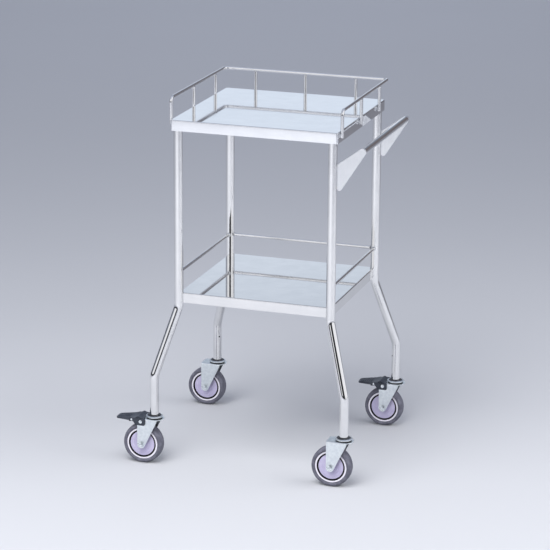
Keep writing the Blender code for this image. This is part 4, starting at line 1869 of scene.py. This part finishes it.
    def axle_forms(self) -> tuple[BMesh, BMesh]:
        """Bolt and nut along Y, the bolt's head behind the fork.

        Returns:
            The bolt and the nut.
        """
        top, tail = self.seat + self.overlap, -(self.seat + self.nut_height + self.axle_tail)
        shank = bmesh.new()
        pen = Pen(shank, Plane.SIDE, (0.0, top)).line((self.axle_r, top))
        pen.line((self.axle_r, tail + self.axle_chamfer))
        pen.line((self.axle_r - self.axle_chamfer, tail), (0.0, tail))
        bolt = joined(self.hexagon_form(self.head_height), turned(shank, steps=32))
        nut = moved(self.hexagon_form(self.nut_height), UPSIDE_DOWN)
        return moved(bolt, ALONG_Y), moved(nut, ALONG_Y)

    def sleeve_form(self) -> BMesh:
        """The steel sleeve that the hub turns on.

        Returns:
            The closed form along Y.
        """
        bore, end = self.axle_r + SEAT_GAP, self.sleeve_half
        form = bmesh.new()
        pen = Pen(form, Plane.SIDE, (bore, -end)).line((self.sleeve_r, -end), (self.sleeve_r, end))
        pen.line((bore, end)).close()
        return moved(turned(form, steps=32), ALONG_Y)

    def hub_form(self) -> BMesh:
        """The hub along Y: a boss, a disc with a ring line, a deep groove painted near-black as shade, and a
        rim band.

        Returns:
            The closed form, its faces numbered for disc, groove and rim; the groove's number gives it painted
            shade.
        """
        bore, rim_r = self.sleeve_r + SEAT_GAP, self.tyre_bore - SEAT_GAP
        end, disc, rim = self.sleeve_half, self.disc_half, self.rim_half
        dip = self.ring_half - self.ring_depth
        form = bmesh.new()
        pen = Pen(form, Plane.SIDE, (bore, 0.0)).line((bore, end), (self.boss_r - self.boss_chamfer, end))
        pen.line((self.boss_r, end - self.boss_chamfer), (self.boss_r, disc + self.boss_fillet))
        pen.arc((self.boss_r + self.boss_fillet, disc + self.boss_fillet), 90.0, steps=5)
        pen.line((self.ring_r - self.ring_half, disc), (self.ring_r - dip, disc - self.ring_depth))
        pen.line((self.ring_r + dip, disc - self.ring_depth), (self.ring_r + self.ring_half, disc))
        pen.line((self.disc_r - self.disc_round, disc))
        pen.arc((self.disc_r - self.disc_round, disc - self.disc_round), -90.0, steps=5)
        pen.line((self.disc_r, self.groove_half), (self.groove_r, self.groove_half))
        pen.line((self.groove_r, rim - self.rim_round))
        pen.arc((self.groove_r + self.rim_round, rim - self.rim_round), -90.0, steps=5)
        pen.line((rim_r - self.rim_chamfer, rim), (rim_r, rim - self.rim_chamfer), (rim_r, 0.0))
        mirrored(turned(form, self.wheel_steps))
        # The groove's faces take the near-black finish, which is painted shade in the recess.
        for face in form.faces:
            radius = face.calc_center_median().to_2d().length
            face.material_index = sum(radius >= edge for edge in self.shade)
        return moved(form, ALONG_Y)

    def tyre_form(self) -> BMesh:
        """The tyre, with rounded shoulders and shallow rings in tread and wall.

        Returns:
            The closed form along Y.
        """
        form = bmesh.new()
        Pen(form, Plane.SIDE, (self.tyre_bore, 0.0)).line(*self.tyre_wall, *self.tyre_tread)
        return moved(mirrored(turned(form, self.wheel_steps)), ALONG_Y)

    def build(self, bench: Bench, frame: dict, corner: Corner, stem: Vector) -> None:
        """Make one caster, with its brake if it has one.

        Args:
            bench: Where pieces are made.
            frame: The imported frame.
            corner: Which caster.
            stem: The stem's place on the floor, in the cart's frame.
        """
        name = corner.label
        there = Matrix.Translation(stem)
        axle = Matrix.Translation(stem + Vector((-self.trail, 0.0, self.wheel_r)))
        body, wheel = f"caster_{name}", f"wheel_{name}"
        form = moved(self.head_form(), there)
        bench.place(f"swivel_cap_{name}", form, [CASTER_STEEL, SHOULDER_PAINTED_SHADE], "frame", [f"swivel_head_{name}"])
        form = moved(self.race_form(), there)
        bench.place(f"bearing_ring_{name}", form, [RACE_PAINTED_SHADE], "frame", [f"swivel_race_{name}"])
        form = moved(self.fork_form(), there)
        # The fork's inside faces take the darker finish, which is painted shade between the cheeks.
        piece = bench.place(f"fork_sheet_{name}", form, [CASTER_STEEL, FORK_INSIDE_PAINTED_SHADE], body, [f"fork_{name}"])
        bench.thicken(piece, self.fork_sheet, inside=1)
        bench.ease(piece, self.fork_edge, segments=2)
        bolt, nut = (moved(form, axle) for form in self.axle_forms())
        crease = self.hex_crease
        bench.place(f"axle_screw_{name}", bolt, [FASTENER_STEEL], body, [f"axle_bolt_{name}"], crease)
        bench.place(f"axle_hex_nut_{name}", nut, [FASTENER_STEEL], body, [f"axle_nut_{name}"], crease)
        form = moved(self.sleeve_form(), axle)
        bench.place(f"axle_tube_{name}", form, [FASTENER_STEEL], body, [f"axle_sleeve_{name}"])
        form = moved(self.hub_form(), axle)
        finishes = [DISC_NYLON, GROOVE_PAINTED_SHADE, RIM_NYLON]
        bench.place(f"wheel_centre_{name}", form, finishes, wheel, [f"hub_{name}"])
        form = moved(self.tyre_form(), axle)
        bench.place(f"wheel_tyre_{name}", form, [WHEEL_RUBBER], wheel, [f"tyre_{name}"])
        if corner.braked:
            brake = Brake(self.trail)
            brake.build(bench, frame, name, stem + Vector((-self.trail, 0.0, brake.pivot_z)))


@dataclass(frozen=True)
class Lamp:
    """A soft rectangular lamp, which the bright metal doesn't mirror."""

    name: str
    place: Place
    target: Place
    size: Point
    power: float
    colour: Colour = (1.0, 0.99, 0.97)

    def hang(self, origin: Vector) -> None:
        """Hang the lamp and aim it.

        Args:
            origin: Where the cart's frame starts.
        """
        lamp = bpy.data.lights.new(self.name, "AREA")
        lamp.shape = "RECTANGLE"
        lamp.size, lamp.size_y = self.size
        lamp.energy = self.power
        lamp.color = self.colour
        holder = linked(self.name, lamp)
        holder.visible_glossy = False
        aim = (Vector(self.target) - Vector(self.place)).to_track_quat("-Z", "Y").to_matrix().to_4x4()
        holder.matrix_world = Matrix.Translation(origin + Vector(self.place)) @ aim


def compass(azimuth: float, elevation: float = 0.0) -> Place:
    """A direction by its angles in degrees; azimuth is 0 in front and grows towards the handle."""
    turn, rise = math.radians(azimuth), math.radians(elevation)
    return math.sin(turn) * math.cos(rise), -math.cos(turn) * math.cos(rise), math.sin(rise)


@dataclass(frozen=True)
class Glow:
    """A round patch of the surroundings, light or dark, with a soft rim; all angles are in degrees."""

    azimuth: float
    elevation: float
    inner: float
    outer: float
    colour: Colour

    def over(self, recipe: Recipe, direction: Socket, sky: Socket) -> Socket:
        """Lay the patch over the surroundings so far.

        Args:
            recipe: The surroundings' nodes.
            direction: Where a ray goes.
            sky: The colour so far.

        Returns:
            The colour with the patch.
        """
        near = recipe.nearness(direction, compass(self.azimuth, self.elevation))
        rim, core = math.cos(math.radians(self.outer)), math.cos(math.radians(self.inner))
        return recipe.blend(recipe.span(near, rim, core), sky, self.colour)


@dataclass(frozen=True)
class Strip:
    """A dark strip low in the surroundings, as an unlit room beyond the floor's edge.

    Its azimuth and its spread to each side are in degrees, and its top is the Z of a direction. Its ends
    fade out over an angle in radians, and its upper part fades out above a share of its top.
    """

    azimuth: float
    spread: float
    top: float
    colour: Colour
    end_fade: float = 0.2
    full_share: float = 0.6

    def over(self, recipe: Recipe, direction: Socket, sky: Socket) -> Socket:
        """Lay the strip over the surroundings so far.

        Args:
            recipe: The surroundings' nodes.
            direction: Where a ray goes.
            sky: The colour so far.

        Returns:
            The colour with the strip.
        """
        end = math.radians(self.spread)
        near = recipe.nearness(direction, compass(self.azimuth))
        inside = recipe.span(near, math.cos(end + self.end_fade), math.cos(end))
        above = recipe.span(recipe.height(direction), self.full_share * self.top, self.top)
        return recipe.blend(inside * (1.0 - above), sky, self.colour)


@dataclass
class Studio:
    """Floor, surroundings, lamps and camera."""

    floor_size: float = 60.0
    camera_place: Place = (1.795106, -5.424737, 2.125283)
    yaw: float = 18.3967
    pitch: float = 16.3914
    roll: float = -0.3894
    lens: float = 156.84
    sensor: float = 36.0
    view_reach: float = 200.0
    lamps: tuple[Lamp, ...] = (
        Lamp("soft_key", (-0.35, -1.9, 3.0), (-0.35, -1.5, 0.0), (2.2, 2.6), 109.0),
        Lamp("soft_front", (-0.6, -3.6, 2.3), (-0.6, -3.6, 0.0), (2.6, 1.8), 62.0),
        Lamp("soft_side", (2.4, 0.0, 2.0), (2.4, 0.0, 0.0), (1.4, 1.8), 46.0),
        Lamp("soft_back", (-1.9, 6.4, 3.0), (-1.9, 6.4, 0.0), (1.6, 4.0), 12.0, (0.80, 0.90, 1.10)),
    )
    heights: Stops = (
        (0.0, (0.17, 0.19, 0.24)), (0.25, (0.20, 0.225, 0.28)), (0.55, (0.27, 0.30, 0.38)),
        (1.0, (0.53, 0.57, 0.70)),
    )
    glows: tuple[Glow, ...] = (
        Glow(-100.0, 28.0, 10.0, 50.0, (0.40, 0.43, 0.50)),
        Glow(132.0, 14.0, 12.0, 30.0, (0.42, 0.45, 0.53)),
        Glow(-22.0, 14.0, 30.0, 40.0, (1.0, 1.01, 1.05)),
        Glow(78.0, 14.0, 40.0, 48.0, (1.0, 1.01, 1.05)),
        Glow(20.0, 8.0, 20.0, 27.0, (0.02, 0.02, 0.025)),
        Glow(-161.0, 9.0, 4.0, 14.0, (0.76, 0.84, 0.96)),
        Glow(166.0, 9.0, 9.0, 17.0, (0.16, 0.145, 0.155)),
    )
    strip: Strip = Strip(-30.0, 75.0, 0.14, (0.03, 0.03, 0.035))
    backdrop: Stops = ((0.0, (0.29, 0.315, 0.375)), (0.5, (0.40, 0.43, 0.50)))
    card: tuple[Point, ...] = ((0.75, 2.2), (9.0, 2.2), (9.0, 14.0), (3.6, 14.0))
    card_z: float = 0.002
    card_finish: StudioFloor = StudioFloor((0.335, 0.325, 0.335), (0.320, 0.310, 0.320))

    @staticmethod
    def lay(bench: Bench, name: str, form: BMesh, finish: StudioFloor) -> bpy.types.Object:
        """Lay a flat form in the studio.

        Args:
            bench: Where materials are kept.
            name: Name of the object and its material.
            form: The flat form, which is used up.
            finish: Its finish.

        Returns:
            The object.
        """
        mesh = as_mesh(form, name)
        mesh.materials.append(bench.palette.material(finish, name))
        holder = linked(name, mesh)
        return holder

    def lay_floor(self, bench: Bench) -> None:
        """Make the plain floor, and a darker card behind the handle's side that only the metal mirrors.

        Args:
            bench: Where materials are kept.
        """
        form = bmesh.new()
        bmesh.ops.create_grid(form, x_segments=1, y_segments=1, size=self.floor_size / 2)
        self.lay(bench, "studio_floor", form, StudioFloor())
        form = bmesh.new()
        Pen(form, Plane.PLAN, self.card[0]).line(*self.card[1:]).fill()
        moved(form, Matrix.Translation((0.0, 0.0, self.card_z)))
        card = self.lay(bench, "studio_card", form, self.card_finish)
        card.visible_camera = card.visible_diffuse = card.visible_shadow = False

    def surround(self) -> None:
        """Make the soft surroundings that the metal mirrors, before a plain backdrop for the camera."""
        world = bpy.data.worlds.new("studio")
        bpy.context.scene.world = world
        world.use_nodes = True
        recipe = Recipe(world.node_tree)
        direction = recipe.node("ShaderNodeTexCoord").outputs["Generated"]
        height = recipe.height(direction)
        sky = recipe.ramp(height, self.heights)
        for patch in (*self.glows, self.strip):
            sky = patch.over(recipe, direction, sky)
        plain = recipe.ramp(height, self.backdrop)
        seen = Value(recipe, recipe.node("ShaderNodeLightPath").outputs["Is Camera Ray"])
        recipe.feed(world.node_tree.nodes["Background"].inputs["Color"], recipe.blend(seen, sky, plain))

    def set_camera(self, origin: Vector) -> None:
        """Stand the camera where the photograph was taken from.

        Args:
            origin: Where the cart's frame starts.
        """
        lens = bpy.data.cameras.new("camera")
        lens.lens = self.lens
        lens.sensor_width = self.sensor
        lens.clip_end = self.view_reach
        turn = Matrix.Rotation(math.radians(self.yaw), 4, "Z")
        turn @= Matrix.Rotation(math.radians(90.0 - self.pitch), 4, "X")
        turn @= Matrix.Rotation(math.radians(-self.roll), 4, "Z")
        camera = linked("camera", lens)
        camera.matrix_world = Matrix.Translation(origin + Vector(self.camera_place)) @ turn
        bpy.context.scene.camera = camera

    def build(self, bench: Bench) -> None:
        """Set up the studio.

        Args:
            bench: Where materials and the cart's frame are kept.
        """
        self.set_camera(bench.origin)
        self.lay_floor(bench)
        self.surround()
        for lamp in self.lamps:
            lamp.hang(bench.origin)
        bpy.context.scene.view_settings.view_transform = "Standard"


def main() -> None:
    """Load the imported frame, build the cart over it and set up the studio."""
    logging.basicConfig(level=logging.INFO, format="%(name)s: %(message)s")
    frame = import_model()
    low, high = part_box("upper_shelf")
    bench = Bench(Vector(((low.x + high.x) / 2, (low.y + high.y) / 2, 0.0)))
    shelves = Shelves()
    legs = Legs(shelves)
    for part in (Studio(), shelves, legs, Rods(shelves, legs), PushHandle(legs)):
        part.build(bench)
    caster = Caster()
    for corner in Corner:
        caster.build(bench, frame, corner, legs.foot_place(corner))
    LOG.info("pieces done")


if __name__ == "__main__":
    main()
